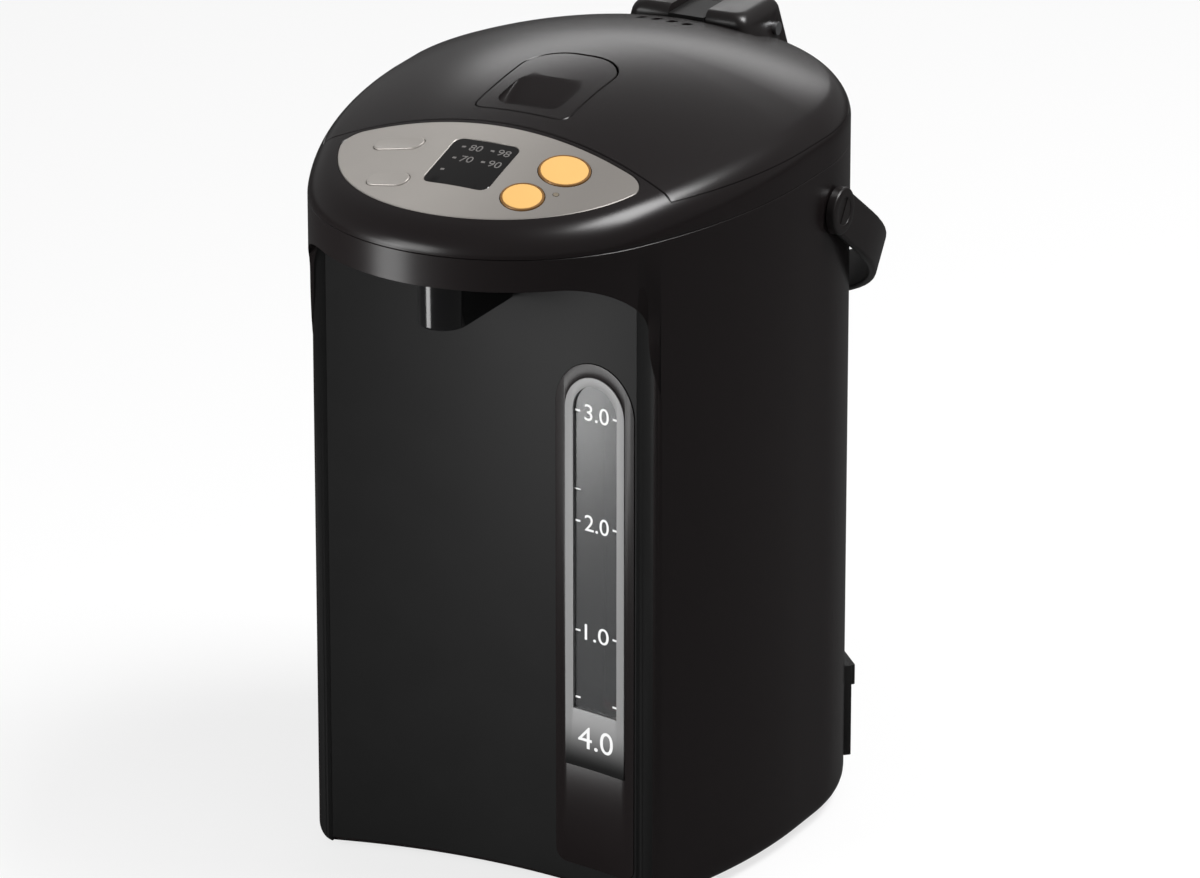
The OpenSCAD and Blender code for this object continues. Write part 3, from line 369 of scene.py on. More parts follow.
def smooth(piece: Piece, angle: float = 30.0) -> Piece:
    """Shades a piece smooth, apart from its sharp edges.

    Args:
        piece: the piece.
        angle: least angle of a sharp edge, in degrees.

    Returns:
        The piece.
    """
    select_only(piece)
    bpy.ops.object.shade_smooth_by_angle(angle=math.radians(angle))
    return piece


def clean(piece: Piece, merge: float = 0.02 * MM, flat: float = 0.2) -> Piece:
    """Merges doubles and dissolves the edges inside flat faces.

    Args:
        piece: the piece.
        merge: distance under which points become one.
        flat: largest angle in degrees between faces that become one.

    Returns:
        The piece.
    """
    with editing(piece):
        bpy.ops.mesh.remove_doubles(threshold=merge)
        bpy.ops.mesh.dissolve_limited(angle_limit=math.radians(flat))
    return piece


def round_edges(piece: Piece, width: float, segments: int = 3, angle: float = 35.0) -> Piece:
    """Rounds the edges of a piece that are sharper than an angle, and shades it smooth.

    Args:
        piece: the piece.
        width: width of the rounding.
        segments: faces across it.
        angle: least angle of an edge that is rounded, in degrees.

    Returns:
        The piece.
    """
    modifier = piece.modifiers.new("edges", "BEVEL")
    modifier.width = width
    modifier.segments = segments
    modifier.limit_method = "ANGLE"
    modifier.angle_limit = math.radians(angle)
    modifier.use_clamp_overlap = True
    apply_modifiers(piece)
    return smooth(piece)


def mesh_piece(name: str, points: Sequence[Sequence[float]], faces: Sequence[Sequence[int]] = (),
               edges: Sequence[tuple[int, int]] = ()) -> Piece:
    """Makes a piece of points that faces or edges join.

    Args:
        name: name of the piece.
        points: the points.
        faces: numbers of the points round each face.
        edges: numbers of the points at the ends of each loose edge.

    Returns:
        The new piece.
    """
    mesh = bpy.data.meshes.new(name)
    mesh.from_pydata([tuple(p) for p in points], list(edges), [tuple(f) for f in faces])
    mesh.update()
    piece = bpy.data.objects.new(name, mesh)
    bpy.context.scene.collection.objects.link(piece)
    return piece


def loft(name: str, rings: Sequence[Sequence[Place]], apex: Place | None = None) -> Piece:
    """Closed solid through a stack of rings, with flat ends or a point at the top.

    Args:
        name: name of the piece.
        rings: rings of as many points each, anticlockwise seen from the last one.
        apex: the point at the top, if there is one.

    Returns:
        The new piece.
    """
    count = len(rings[0])
    points = [p for ring in rings for p in ring]
    faces = [[count - 1 - i for i in range(count)]]
    for level in range(len(rings) - 1):
        low, high = level * count, (level + 1) * count
        faces += [[low + i, low + (i + 1) % count, high + (i + 1) % count, high + i] for i in range(count)]
    top = (len(rings) - 1) * count
    if apex is None:
        faces.append([top + i for i in range(count)])
    else:
        points.append(apex)
        faces += [[top + i, top + (i + 1) % count, len(points) - 1] for i in range(count)]
    return mesh_piece(name, points, faces)


def prism(outline: Sequence[Point], low: float, high: float, name: str = "prism") -> Piece:
    """Upright solid over a plan outline that runs anticlockwise."""
    return loft(name, [[(x, y, z) for x, y in outline] for z in (low, high)])


def front_prism(outline: Sequence[Point], front: float, back: float, name: str = "front_prism") -> Piece:
    """Solid over an outline in X and Z, anticlockwise seen from the front, between two depths."""
    return loft(name, [[(x, y, z) for x, z in outline] for y in (back, front)])


def block(low: Sequence[float], high: Sequence[float]) -> Piece:
    """Box between two corners.

    Args:
        low: its lowest corner.
        high: its highest corner.

    Returns:
        The new piece.
    """
    bpy.ops.object.select_all(action="DESELECT")
    centre = [(a + b) / 2 for a, b in zip(low, high)]
    bpy.ops.mesh.primitive_cube_add(size=1.0, location=centre, scale=[b - a for a, b in zip(low, high)])
    bpy.ops.object.transform_apply(location=True, rotation=True, scale=True)
    return bpy.context.object


def rod(centre: Sequence[float], radius: float, length: float, axis: Sequence[float],
        sides: int = 64) -> Piece:
    """Round rod.

    Args:
        centre: its middle.
        radius: its radius.
        length: its length.
        axis: its direction.
        sides: number of its flat sides.

    Returns:
        The new piece.
    """
    bpy.ops.object.select_all(action="DESELECT")
    turn = Vector((0, 0, 1)).rotation_difference(Vector(axis)).to_euler()
    bpy.ops.mesh.primitive_cylinder_add(vertices=sides, radius=radius, depth=length, location=centre,
                                        rotation=turn)
    bpy.ops.object.transform_apply(location=True, rotation=True, scale=True)
    return bpy.context.object


def turned(name: str, profile: Sequence[Point], steps: int = 96) -> Piece:
    """Spins a profile of radii and heights about Z, from the axis to the axis.

    Args:
        name: name of the piece.
        profile: radius and height of each point.
        steps: faces round the axis.

    Returns:
        The new piece.
    """
    chain = [(i, i + 1) for i in range(len(profile) - 1)]
    piece = mesh_piece(name, [(r, 0, z) for r, z in profile], edges=chain)
    with editing(piece):
        bpy.ops.mesh.spin(steps=steps, angle=2 * math.pi, center=(0, 0, 0), axis=(0, 0, 1))
        bpy.ops.mesh.select_all(action="SELECT")
        bpy.ops.mesh.remove_doubles(threshold=0.005 * MM)
        bpy.ops.mesh.normals_make_consistent(inside=False)
    return piece


def face_outwards(piece: Piece) -> Piece:
    """Turns all faces of a closed piece outwards.

    Args:
        piece: the piece.

    Returns:
        The piece.
    """
    with editing(piece):
        bpy.ops.mesh.normals_make_consistent(inside=False)
    return piece


def hull(piece: Piece) -> Piece:
    """Fills a piece out to its convex hull.

    Args:
        piece: the piece.

    Returns:
        The piece.
    """
    with editing(piece):
        bpy.ops.mesh.convex_hull()
    return piece


def set_on(piece: Piece, matrix: Matrix) -> Piece:
    """Moves the mesh of a piece and leaves its object at the origin.

    Args:
        piece: the piece.
        matrix: the move.

    Returns:
        The piece.
    """
    piece.data.transform(matrix)
    piece.data.update()
    return piece


def joined(name: str, pieces: Sequence[Piece]) -> Piece:
    """Joins pieces into one, without merging their meshes.

    Args:
        name: name of the whole.
        pieces: the pieces.

    Returns:
        The first piece, which holds them all.
    """
    bpy.ops.object.select_all(action="DESELECT")
    for piece in pieces:
        piece.select_set(True)
    bpy.context.view_layer.objects.active = pieces[0]
    bpy.ops.object.join()
    pieces[0].name = name
    return pieces[0]


def number(text: str, height: float, width: float, thickness: float = 0.06 * MM) -> Piece:
    """Flat mesh of a number, centred on the origin.

    Args:
        text: the characters.
        height: height of the figures.
        width: full width.
        thickness: how thick the print is.

    Returns:
        The new piece.
    """
    bpy.ops.object.select_all(action="DESELECT")
    bpy.ops.object.text_add()
    label = bpy.context.object
    label.data.body = text
    label.data.extrude = 0.02  # any depth, because it is scaled below
    bpy.ops.object.convert(target="MESH")
    piece = bpy.context.object
    low = [min(v.co[i] for v in piece.data.vertices) for i in range(3)]
    high = [max(v.co[i] for v in piece.data.vertices) for i in range(3)]
    scale = [new / (b - a) for new, a, b in zip((width, height, thickness), low, high)]
    centre = Matrix.Translation([-(a + b) / 2 for a, b in zip(low, high)])
    return set_on(piece, Matrix.Diagonal((*scale, 1.0)) @ centre)


def arc(centre: Point, radius: float, start: float, end: float, steps: int, skip: int = 0) -> list[Point]:
    """Points on an arc, from one angle to another in degrees, leaving out the first few."""
    turns = [math.radians(start + (end - start) * i / steps) for i in range(skip, steps + 1)]
    return [(centre[0] + radius * math.cos(t), centre[1] + radius * math.sin(t)) for t in turns]


def mirrored(half: Sequence[Point]) -> list[Point]:
    """Closes an outline whose right half runs from one end of the middle line to the other."""
    return [*half, *((-x, y) for x, y in reversed(half[1:-1]))]


def meet(a: Point, ra: float, b: Point, rb: float) -> Point:
    """Finds where two circles meet, on the left of the way from one to the other.

    Args:
        a: centre of the first circle.
        ra: its radius.
        b: centre of the second circle.
        rb: its radius.

    Returns:
        The point.
    """
    way = Vector(b) - Vector(a)
    along = (way.length_squared + ra * ra - rb * rb) / (2 * way.length)
    across = math.sqrt(ra * ra - along * along)
    unit = way.normalized()
    point = Vector(a) + unit * along + Vector((-unit.y, unit.x)) * across
    return (point.x, point.y)


def heading(a: Point, b: Point) -> float:
    """Angle of the way from a to b, in degrees."""
    return math.degrees(math.atan2(b[1] - a[1], b[0] - a[0]))


def rounded_box(size: Point, radius: float, centre: Point = (0.0, 0.0), steps: int = 8) -> list[Point]:
    """Outline of a rectangle with round corners.

    Args:
        size: its width and height.
        radius: radius of its corners.
        centre: its middle.
        steps: faces of each corner.

    Returns:
        The outline, anticlockwise.
    """
    points: list[Point] = []
    for turn, (sx, sy) in enumerate([(1, -1), (1, 1), (-1, 1), (-1, -1)]):
        corner = (centre[0] + sx * (size[0] / 2 - radius), centre[1] + sy * (size[1] / 2 - radius))
        points += arc(corner, radius, 90 * turn - 90, 90 * turn, steps)
    return points


def between(ends: Point, share: float) -> float:
    """Value at a share of the way from one end to the other."""
    return ends[0] + (ends[1] - ends[0]) * share


def middle_of(node: str) -> Vector:
    """Middle of a node's box."""
    low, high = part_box(node)
    return (low + high) / 2


def merged_copy(node: str, name: str) -> Piece:
    """Copies a node and joins its loose triangles into faces.

    Args:
        node: the node.
        name: name of the copy.

    Returns:
        The copy, free of the node's parent and marks.
    """
    select_only(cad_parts[node])
    bpy.ops.object.duplicate()
    copy = bpy.context.object
    copy.name = name
    copy.parent = None
    for key in [key for key in copy.keys() if key.startswith("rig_")]:
        del copy[key]
    return clean(copy)


def facing(place: Place, aim: Place) -> Euler:
    """Turn of a lamp or a camera at a place that looks at its aim."""
    return (Vector(aim) - Vector(place)).to_track_quat("-Z", "Y").to_euler()


def grey(tone: float) -> tuple[float, float, float, float]:
    """Opaque grey of a tone."""
    return (tone, tone, tone, 1.0)


def hand_in(piece: Piece, finish: Finish | None, body: str, slot: str, *nodes: str) -> Piece:
    """Dresses a finished piece and makes it stand for its nodes.

    Args:
        piece: the piece.
        finish: its finish, or None where it has it already.
        body: the body that it rides on.
        slot: the material slot of the record; not used.
        nodes: the nodes that it stands for.

    Returns:
        The piece.
    """
    if finish:
        finish.dress(piece)
    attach(piece, body)
    if nodes:
        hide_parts(*nodes)
    LOG.info("%s: %d faces on %s", piece.name, len(piece.data.polygons), body)
    return piece


# ---- form of the body ----


@dataclass(frozen=True)
class Fineness:
    """How many faces a dome has: along the arcs of its plan, across its shoulder and over its crown."""

    plan: tuple[int, int, int]
    shoulder: int
    crown: int


SHOWN = Fineness((40, 28, 48), 16, 30)
HIDDEN = Fineness((14, 9, 18), 5, 9)


@dataclass(frozen=True)
class BodyForm:
    """The egg-shaped plan, the concave front and the domed top that the shells share.

    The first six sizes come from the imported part. The plan has a nose, two long side curves, two short
    straights and a round back. A drop is how far the dome falls from its highest point to an edge.
    """

    half_width: float
    front: float
    face: float
    base: float
    case_top: float
    crown_top: float
    nose_radius: float = 88.5 * MM
    side_radius: float = 252.5 * MM
    straight: float = 20.6 * MM
    wall: float = 2.5 * MM
    shoulder_radius: float = 10.0 * MM
    upright_strip: float = 0.6 * MM
    side_drop: float = 23.9 * MM
    front_drop: float = 35.0 * MM
    back_drop: float = 22.8 * MM
    crown_ahead: float = 2.2 * MM
    lid_rise: float = 13.9 * MM
    lid_gap: float = 0.4 * MM
    lid_edge: float = 0.5 * MM
    lid_bow: float = 377.0 * MM
    lid_setback: float = 13.8 * MM
    lid_corner: float = 4.5 * MM
    least_corner: float = 2.0 * MM
    recess_radius: float = 269.0 * MM
    panel_depth: float = 1.6 * MM
    panel_thickness: float = 1.45 * MM
    skin_floor: float = 2.0 * MM
    headroom: float = 6.0 * MM
    cutter_reach: Point = (40.0 * MM, 10.0 * MM)

    @classmethod
    def from_frame(cls) -> "BodyForm":
        """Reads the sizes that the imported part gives.

        Returns:
            The form.
        """
        low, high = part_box("outer_case")
        return cls(half_width=(high.x - low.x) / 2, front=low.y, base=low.z, case_top=high.z,
                   face=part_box("front_panel")[1].y - cls.panel_thickness, crown_top=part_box("lid_shell")[1].z)

    @property
    def nose_centre(self) -> Point:
        """Centre of the nose's arc."""
        return (0.0, self.front + self.nose_radius)

    @property
    def side_centre(self) -> Point:
        """Centre of the long curve of the right side.

        Returns:
            Its place in plan.
        """
        reach = self.side_radius - self.half_width
        rise = math.sqrt((self.side_radius - self.nose_radius) ** 2 - reach ** 2)
        return (-reach, self.nose_centre[1] + rise)

    @property
    def back_centre(self) -> Point:
        """Centre of the round back, about which the tank stands."""
        return (0.0, self.side_centre[1] + self.straight)

    @property
    def rear(self) -> float:
        """Depth of the rearmost point of the case."""
        return self.back_centre[1] + self.half_width

    @property
    def crown_y(self) -> float:
        """Depth of the highest point."""
        return self.back_centre[1] - self.crown_ahead

    @property
    def lid_z(self) -> float:
        """Height of the seam of the lid."""
        return self.case_top + self.lid_rise

    @property
    def lid_front(self) -> float:
        """Depth of the front edge of the lid, in the middle."""
        return self.face + self.lid_setback

    @property
    def recess_y(self) -> float:
        """Depth of the centre of the concave front."""
        return self.face - self.recess_radius

    def egg(self, inset: float, steps: tuple[int, int, int] = SHOWN.plan) -> list[Point]:
        """Outline of the body.

        Args:
            inset: how far it is drawn in.
            steps: faces along the nose's half, a side and the back's half.

        Returns:
            The outline, anticlockwise.
        """
        turn = heading(self.side_centre, self.nose_centre)
        nose = arc(self.nose_centre, self.nose_radius - inset, -90, turn, steps[0])
        side = arc(self.side_centre, self.side_radius - inset, turn, 0, steps[1], 1)
        back = arc(self.back_centre, self.half_width - inset, 0, 90, steps[2])
        return mirrored([*nose, *side, *back])

    def rim_of(self, x: float, y: float) -> tuple[Point, float]:
        """Finds the nearest point of the body's outline.

        Args:
            x: place in plan, to the right.
            y: place in plan, to the rear.

        Returns:
            The nearest point, and the distance to it.
        """
        if self.side_centre[1] <= y <= self.back_centre[1]:
            return (math.copysign(self.half_width, x), y), max(0.0, self.half_width - abs(x))
        centre, radius = self.side_centre, self.side_radius
        if y > self.back_centre[1]:
            centre, radius = self.back_centre, self.half_width
        elif heading(centre, (abs(x), y)) < heading(centre, self.nose_centre):
            centre, radius = self.nose_centre, self.nose_radius
        away = Vector((abs(x) - centre[0], y - centre[1]))
        rim = Vector(centre) + away.normalized() * radius
        return (math.copysign(rim.x, x), rim.y), max(0.0, radius - away.length)

    def crown(self, x: float, y: float) -> float:
        """Height of the domed top, without its rounded shoulder.

        Args:
            x: place in plan, to the right.
            y: place in plan, to the rear.

        Returns:
            The height.
        """
        ahead = y < self.crown_y
        reach = self.crown_y - self.front if ahead else self.rear - self.crown_y
        drop = self.front_drop if ahead else self.back_drop
        across, along = x / self.half_width, (y - self.crown_y) / reach
        return self.crown_top - self.side_drop * across ** 2 - drop * along ** 2

    def shoulder(self, rim: Point, inset: float) -> float:
        """Drop of the rounded shoulder.

        Args:
            rim: nearest point of the body's outline.
            inset: distance from it.

        Returns:
            How far the surface lies under the crown.
        """
        if inset >= self.shoulder_radius:
            return 0.0
        depth = min(self.shoulder_radius, self.crown(*rim) - self.case_top - self.upright_strip)
        return depth * (1 - math.sqrt(1 - (1 - inset / self.shoulder_radius) ** 2))

    def surface(self, x: float, y: float) -> float:
        """Height of the head's surface over a point of the plan."""
        return self.crown(x, y) - self.shoulder(*self.rim_of(x, y))

    def normal(self, x: float, y: float) -> Vector:
        """Outward normal of the crown, ahead of its highest point.

        Args:
            x: place in plan, to the right.
            y: place in plan, to the rear.

        Returns:
            The unit normal.
        """
        reach = self.crown_y - self.front
        slope_y = -2 * self.front_drop * (self.crown_y - y) / reach ** 2
        return Vector((2 * self.side_drop * x / self.half_width ** 2, slope_y, 1)).normalized()

    def seat(self, x: float, y: float) -> Matrix:
        """Frame on the dome: its Z is the normal, and its X stays level with the sides.

        Args:
            x: place in plan, to the right.
            y: place in plan, to the rear.

        Returns:
            The matrix that carries a piece from the origin to its seat.
        """
        up = self.normal(x, y)
        along = Vector((up.z, 0, -up.x)).normalized()
        turn = Matrix((along, up.cross(along), up)).transposed().to_4x4()
        return Matrix.Translation(Vector((x, y, self.crown(x, y)))) @ turn

    def dome(self, sunk: float, floor: float, shift: float = 0.0, fineness: Fineness = SHOWN) -> Piece:
        """Solid under the domed top.

        Args:
            sunk: how far its surface is drawn in from the true one, on all sides.
            floor: height of the flat underside, under the lowest point of the surface.
            shift: how far it is lowered.
            fineness: how many faces it has.

        Returns:
            The new solid.
        """
        edge = self.egg(0.0, fineness.plan)
        rings = [[(x, y, floor) for x, y in self.egg(sunk, fineness.plan)]]
        for i in range(fineness.shoulder):
            inset = self.shoulder_radius * (1 - math.cos(math.radians(90 * i / fineness.shoulder)))
            rings.append([(x, y, self.crown(x, y) - self.shoulder(rim, inset) - sunk - shift)
                          for (x, y), rim in zip(self.egg(inset + sunk, fineness.plan), edge)])
        inner = self.egg(self.shoulder_radius + sunk, fineness.plan)
        for i in range(fineness.crown):
            share = 1 - i / fineness.crown
            plan = [(x * share, self.crown_y + (y - self.crown_y) * share) for x, y in inner]
            rings.append([(x, y, self.crown(x, y) - sunk - shift) for x, y in plan])
        return loft("dome", rings, (0.0, self.crown_y, self.crown_top - sunk - shift))

    def skin(self, name: str, shift: float = 0.0) -> Piece:
        """Solid with the dome's own surface, from which a piece of it is cut.

        Args:
            name: name of the piece.
            shift: how far it is lowered.

        Returns:
            The new solid.
        """
        piece = self.dome(0.0, self.case_top - self.skin_floor, shift)
        piece.name = name
        return piece

    def under(self, depth: float) -> Piece:
        """Cutter for all that lies deeper than a depth under the dome."""
        return self.dome(0.0, self.case_top - OVER, depth, HIDDEN)

    def shaft(self, outline: Callable[[float], list[Point]], low: float, lean: float = 0.0) -> Piece:
        """Upright solid over an outline, from a level to above the dome.

        Args:
            outline: gives the outline for an inset, always with as many points.
            low: height of the underside.
            lean: chamfer where the walls meet the dome; inwards if it is positive.

        Returns:
            The new solid.
        """
        step, proud = 0.1 * MM, 0.02 * MM
        wide, top = outline(0.0), outline(lean)
        rings = [[(x, y, low) for x, y in wide]]
        if lean:
            rings.append([(x, y, max(low + step, self.surface(x, y) - abs(lean))) for x, y in wide])
            rings.append([(x, y, max(low + 2 * step, self.surface(*at) + proud))
                          for (x, y), at in zip(top, wide)])
        rings.append([(x, y, self.crown_top + self.headroom) for x, y in top])
        return loft("shaft", rings)

    def lid_outline(self, inset: float) -> list[Point]:
        """Outline of the lid: bowed at the front, and beside the rim of the body elsewhere.

        Args:
            inset: how far it is drawn in.

        Returns:
            The outline, anticlockwise.
        """
        edge, corner = self.lid_edge + inset, max(self.lid_corner - inset, self.least_corner)
        centre, side = (0.0, self.lid_front - self.lid_bow), self.side_centre
        spot = meet(side, self.side_radius - edge - corner, centre, self.lid_bow + inset + corner)
        turn = heading(side, spot)
        front = arc(centre, self.lid_bow + inset, 90, heading(centre, spot), 24)
        bend = arc(spot, corner, heading(spot, centre), turn, 10, 1)
        flank = arc(side, self.side_radius - edge, turn, -1, 24, 1)
        back = arc(self.back_centre, self.half_width - edge, 1, 90, 44)
        return mirrored([*front, *bend, *flank, *back])

    def face_layer(self, near: float, far: float, low: float, high: float, half: float) -> Piece:
        """Curved slab along the concave front.

        Args:
            near: depth of its front surface.
            far: depth of its rear surface.
            low: height of its underside.
            high: height of its top.
            half: half of its width.

        Returns:
            The new solid.
        """
        count = 80
        xs = [half * (2 * i / count - 1) for i in range(count + 1)]
        ahead = [self.on_face(x, 0.0, near)[:2] for x in xs]
        behind = [self.on_face(x, 0.0, far)[:2] for x in reversed(xs)]
        return prism([*ahead, *behind], low, high, "layer")

    def on_face(self, x: float, z: float, depth: float) -> Place:
        """Point at a depth behind the concave front."""
        return (x, self.recess_y + math.sqrt((self.recess_radius + depth) ** 2 - x * x), z)

    def face_cutter(self, outline: Sequence[Point]) -> Piece:
        """Solid over an outline seen from the front, right through the panel."""
        return front_prism(outline, self.face - self.cutter_reach[0], self.face + self.cutter_reach[1])


# ---- the sub-assemblies ----


@dataclass
class Case:
    """Outer case with its concave front, the panel on it and the spout cover under the beak.

    The space under the beak, the notch, has round upper corners, and its sides blend into the front
    over the width and the height of the blend. Turns are in degrees.
    """

    form: BodyForm
    foot: float = 8.0 * MM
    seam: float = 0.25 * MM
    corner: float = 9.0 * MM
    satin_turn: float = -50.0
    beak: float = 14.1 * MM
    notch_radius: float = 25.0 * MM
    notch_half: float = 57.0 * MM
    blend: Point = (5.0 * MM, 40.0 * MM)
    panel_half: float = 75.5 * MM
    panel_gap: float = 0.1 * MM
    panel_foot: float = 2.0 * MM
    well: Point = (88.3 * MM, 18.0 * MM)
    gauge_room: Point = (2.0 * MM, 4.0 * MM)
    inlet_scale: float = 1.004
    pin_radius: float = 4.4 * MM
    outlet: Point = (7.0 * MM, 8.0 * MM)
    spout_half: float = 11.0 * MM
    spout_drop: float = 25.0 * MM
    spout_setback: float = 25.0 * MM
    spout_wall: float = 2.0 * MM
    spout_edge: float = 1.2 * MM
    spout_bore: float = 5.2 * MM

    @property
    def beak_z(self) -> float:
        """Height of the underside of the beak."""
        return self.form.case_top - self.beak

    @property
    def layer_half(self) -> float:
        """Half of the width of a slab that is cut to the panel's outline."""
        return self.panel_half + 4 * MM

    @property
    def corner_centre(self) -> Point:
        """Centre of the rounded front corner on the right.

        Returns:
            Its place in plan.
        """
        form = self.form
        return meet(form.side_centre, form.side_radius - self.corner, (0.0, form.recess_y),
                    form.recess_radius + self.corner)

    def cut_outline(self, inset: float) -> list[Point]:
        """Plan outline of what is cut away in front, whose corners run flush into the panel.

        Args:
            inset: how far the case is drawn in.

        Returns:
            The outline, anticlockwise.
        """
        form, spot = self.form, self.corner_centre
        aside, ahead, flare, past_tangent = 40 * MM, 60 * MM, 20 * MM, 1.5
        centre = (0.0, form.recess_y)
        front = arc(centre, form.recess_radius + inset, 90, heading(centre, spot), 48)
        bend = arc(spot, self.corner - inset, heading(spot, centre),
                   heading(form.side_centre, spot) - past_tangent, 24, 1)
        out = (form.half_width + aside, bend[-1][1] - flare)
        far = form.front - ahead
        return list(reversed(mirrored([*front, *bend, out, (out[0], far), (0.0, far)])))

    def notch_outline(self, inset: float) -> list[Point]:
        """Front outline of the notch under the beak.

        Args:
            inset: how far the case is drawn in.

        Returns:
            The outline, anticlockwise.
        """
        wide, level, steps = self.form.half_width + 30 * MM, self.beak_z - self.notch_radius, 12
        round_top = arc((self.notch_half, level), self.notch_radius + inset, 0, 90, 24)
        start, (across, down) = round_top[0][0], self.blend
        fade = [(start + across * (i / steps) ** 2, level - down * i / steps) for i in range(steps, 0, -1)]
        right = [(wide, -20 * MM), (wide, level - down), *fade, *round_top]
        return [*right, *((-x, z) for x, z in reversed(right))]

    def notch_room(self, inset: float) -> Piece:
        """Solid over the notch, from ahead of the case to behind its front."""
        return front_prism(self.notch_outline(inset), self.form.front - 70 * MM, self.form.face + 20 * MM)

    def solid(self, inset: float, low: float, top: float, seam: float = 0.0) -> Piece:
        """Case without a hollow: the egg with a rounded foot, less the concave front.

        Args:
            inset: how far it is drawn in.
            low: height of its underside.
            top: height of its top.
            seam: chamfer of its upper edge.

        Returns:
            The new solid.
        """
        form, radius, steps = self.form, self.foot - inset, 8
        rings = []
        for turn in (math.radians(90 * i / steps) for i in range(steps + 1)):
            plan = form.egg(inset + radius * (1 - math.sin(turn)))
            rings.append([(x, y, low + radius * (1 - math.cos(turn))) for x, y in plan])
        rings.append([(x, y, top - seam) for x, y in form.egg(inset)])
        if seam:
            rings.append([(x, y, top) for x, y in form.egg(inset + seam)])
        room = prism(self.cut_outline(inset), low - OVER, self.beak_z + inset)
        carve(room, self.notch_room(inset), Cut.KEEP)
        return carve(loft("case_shell", rings), room)

    def shell(self) -> Piece:
        """Builds the hollow case with its openings.

        Returns:
            The new piece.
        """
        form = self.form
        case = self.solid(0.0, form.base, form.case_top, self.seam)
        carve(case, self.solid(form.wall + form.panel_depth, form.base + form.wall, form.case_top + 1 * MM))
        pocket = form.face_layer(-30 * MM, form.panel_depth, form.base - 1 * MM, self.beak_z - 1 * MM,
                                 self.panel_half + self.panel_gap)
        carve(case, carve(pocket, self.notch_room(-self.panel_gap), Cut.KEEP))
        for cutter in self.openings():
            carve(case, cutter)
        return smooth(case)

    def openings(self) -> Iterator[Piece]:
        """Makes the cutters for the turntable, the gauge, the spout, the handle's pins and the inlet.

        Yields:
            The cutters, one by one.
        """
        form = self.form
        at = middle_of("swivel_base")
        yield rod((at.x, at.y, form.base), *self.well, (0, 0, 1), 128)
        low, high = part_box("gauge_window")
        aside, ahead = self.gauge_room
        yield block((low.x - aside, low.y - ahead, low.z), (high.x + aside, form.face + 20 * MM, high.z))
        at = middle_of("spout_tube")
        yield rod((at.x, at.y, self.beak_z), *self.outlet, (0, 0, 1))
        yield rod(middle_of("handle_bushings"), self.pin_radius, 3 * form.half_width, (1, 0, 0))
        at, grow = middle_of("inlet_frame"), Matrix.Scale(self.inlet_scale, 4)
        room = hull(merged_copy("inlet_frame", "inlet_room"))
        yield set_on(room, Matrix.Translation(at) @ grow @ Matrix.Translation(-at))

    def panel(self) -> Piece:
        """Builds the satin panel on the concave front.

        Returns:
            The new piece.
        """
        form = self.form
        layer = form.face_layer(0.0, form.panel_thickness, form.base, form.case_top, self.layer_half)
        layer.name = "satin_front"
        level, radius = self.beak_z - self.notch_radius, self.notch_radius - self.panel_gap
        start = math.degrees(math.acos((self.panel_half - self.notch_half) / radius))
        round_top = arc((self.notch_half, level), radius, start, 90, 16)
        right = [(self.panel_half, form.base + self.panel_foot), *round_top]
        return carve(layer, form.face_cutter([*right, *((-x, z) for x, z in reversed(right))]), Cut.KEEP)

    def spout(self) -> Piece:
        """Builds the spout cover: a hollow hood with a round front.

        Returns:
            The new piece.
        """
        form, half, edge, wall = self.form, self.spout_half, self.spout_edge, self.spout_wall
        at = (0.0, form.front + self.spout_setback)
        rear, low = form.face - 1 * MM, self.beak_z - self.spout_drop

        def outline(inset: float) -> list[Point]:
            """Outline of the hood, drawn in."""
            front = arc(at, half - inset, -180, 0, 48)
            return [*front, (half - inset, rear - inset), (inset - half, rear - inset)]

        rings = []
        for turn in (math.radians(22.5 * i) for i in range(5)):
            plan = outline(edge * (1 - math.sin(turn)))
            rings.append([(x, y, low + edge * (1 - math.cos(turn))) for x, y in plan])
        rings.append([(x, y, self.beak_z - 0.05 * MM) for x, y in outline(0.0)])
        hood = loft("spout_hood", rings)
        carve(hood, prism(outline(wall), low + wall, self.beak_z + OVER))
        return smooth(carve(hood, rod((0, at[1], low), self.spout_bore, 8 * MM, (0, 0, 1))))

    def is_satin(self, at: Vector) -> bool:
        """Tells whether a face of the case belongs to the satin part of the front corners.

        Args:
            at: centre of the face.

        Returns:
            Whether it lies under the beak, on the corner's arc and near the panel.
        """
        spot, place = self.corner_centre, (abs(at.x), at.y)
        near_arc = abs(math.dist(spot, place) - self.corner) < 0.5 * MM
        return at.z < self.beak_z and heading(spot, place) < self.satin_turn and near_arc

    def build(self) -> None:
        """Builds and dresses the case and the spout cover."""
        shell = self.shell()
        GLOSS_CASE.dress(shell)
        SATIN_PANEL.dress_where(shell, self.is_satin)
        hand_in(shell, None, "pot", "case", "outer_case")
        hand_in(self.spout(), GLOSS_BLACK, "pot", "gloss", "spout_cover")


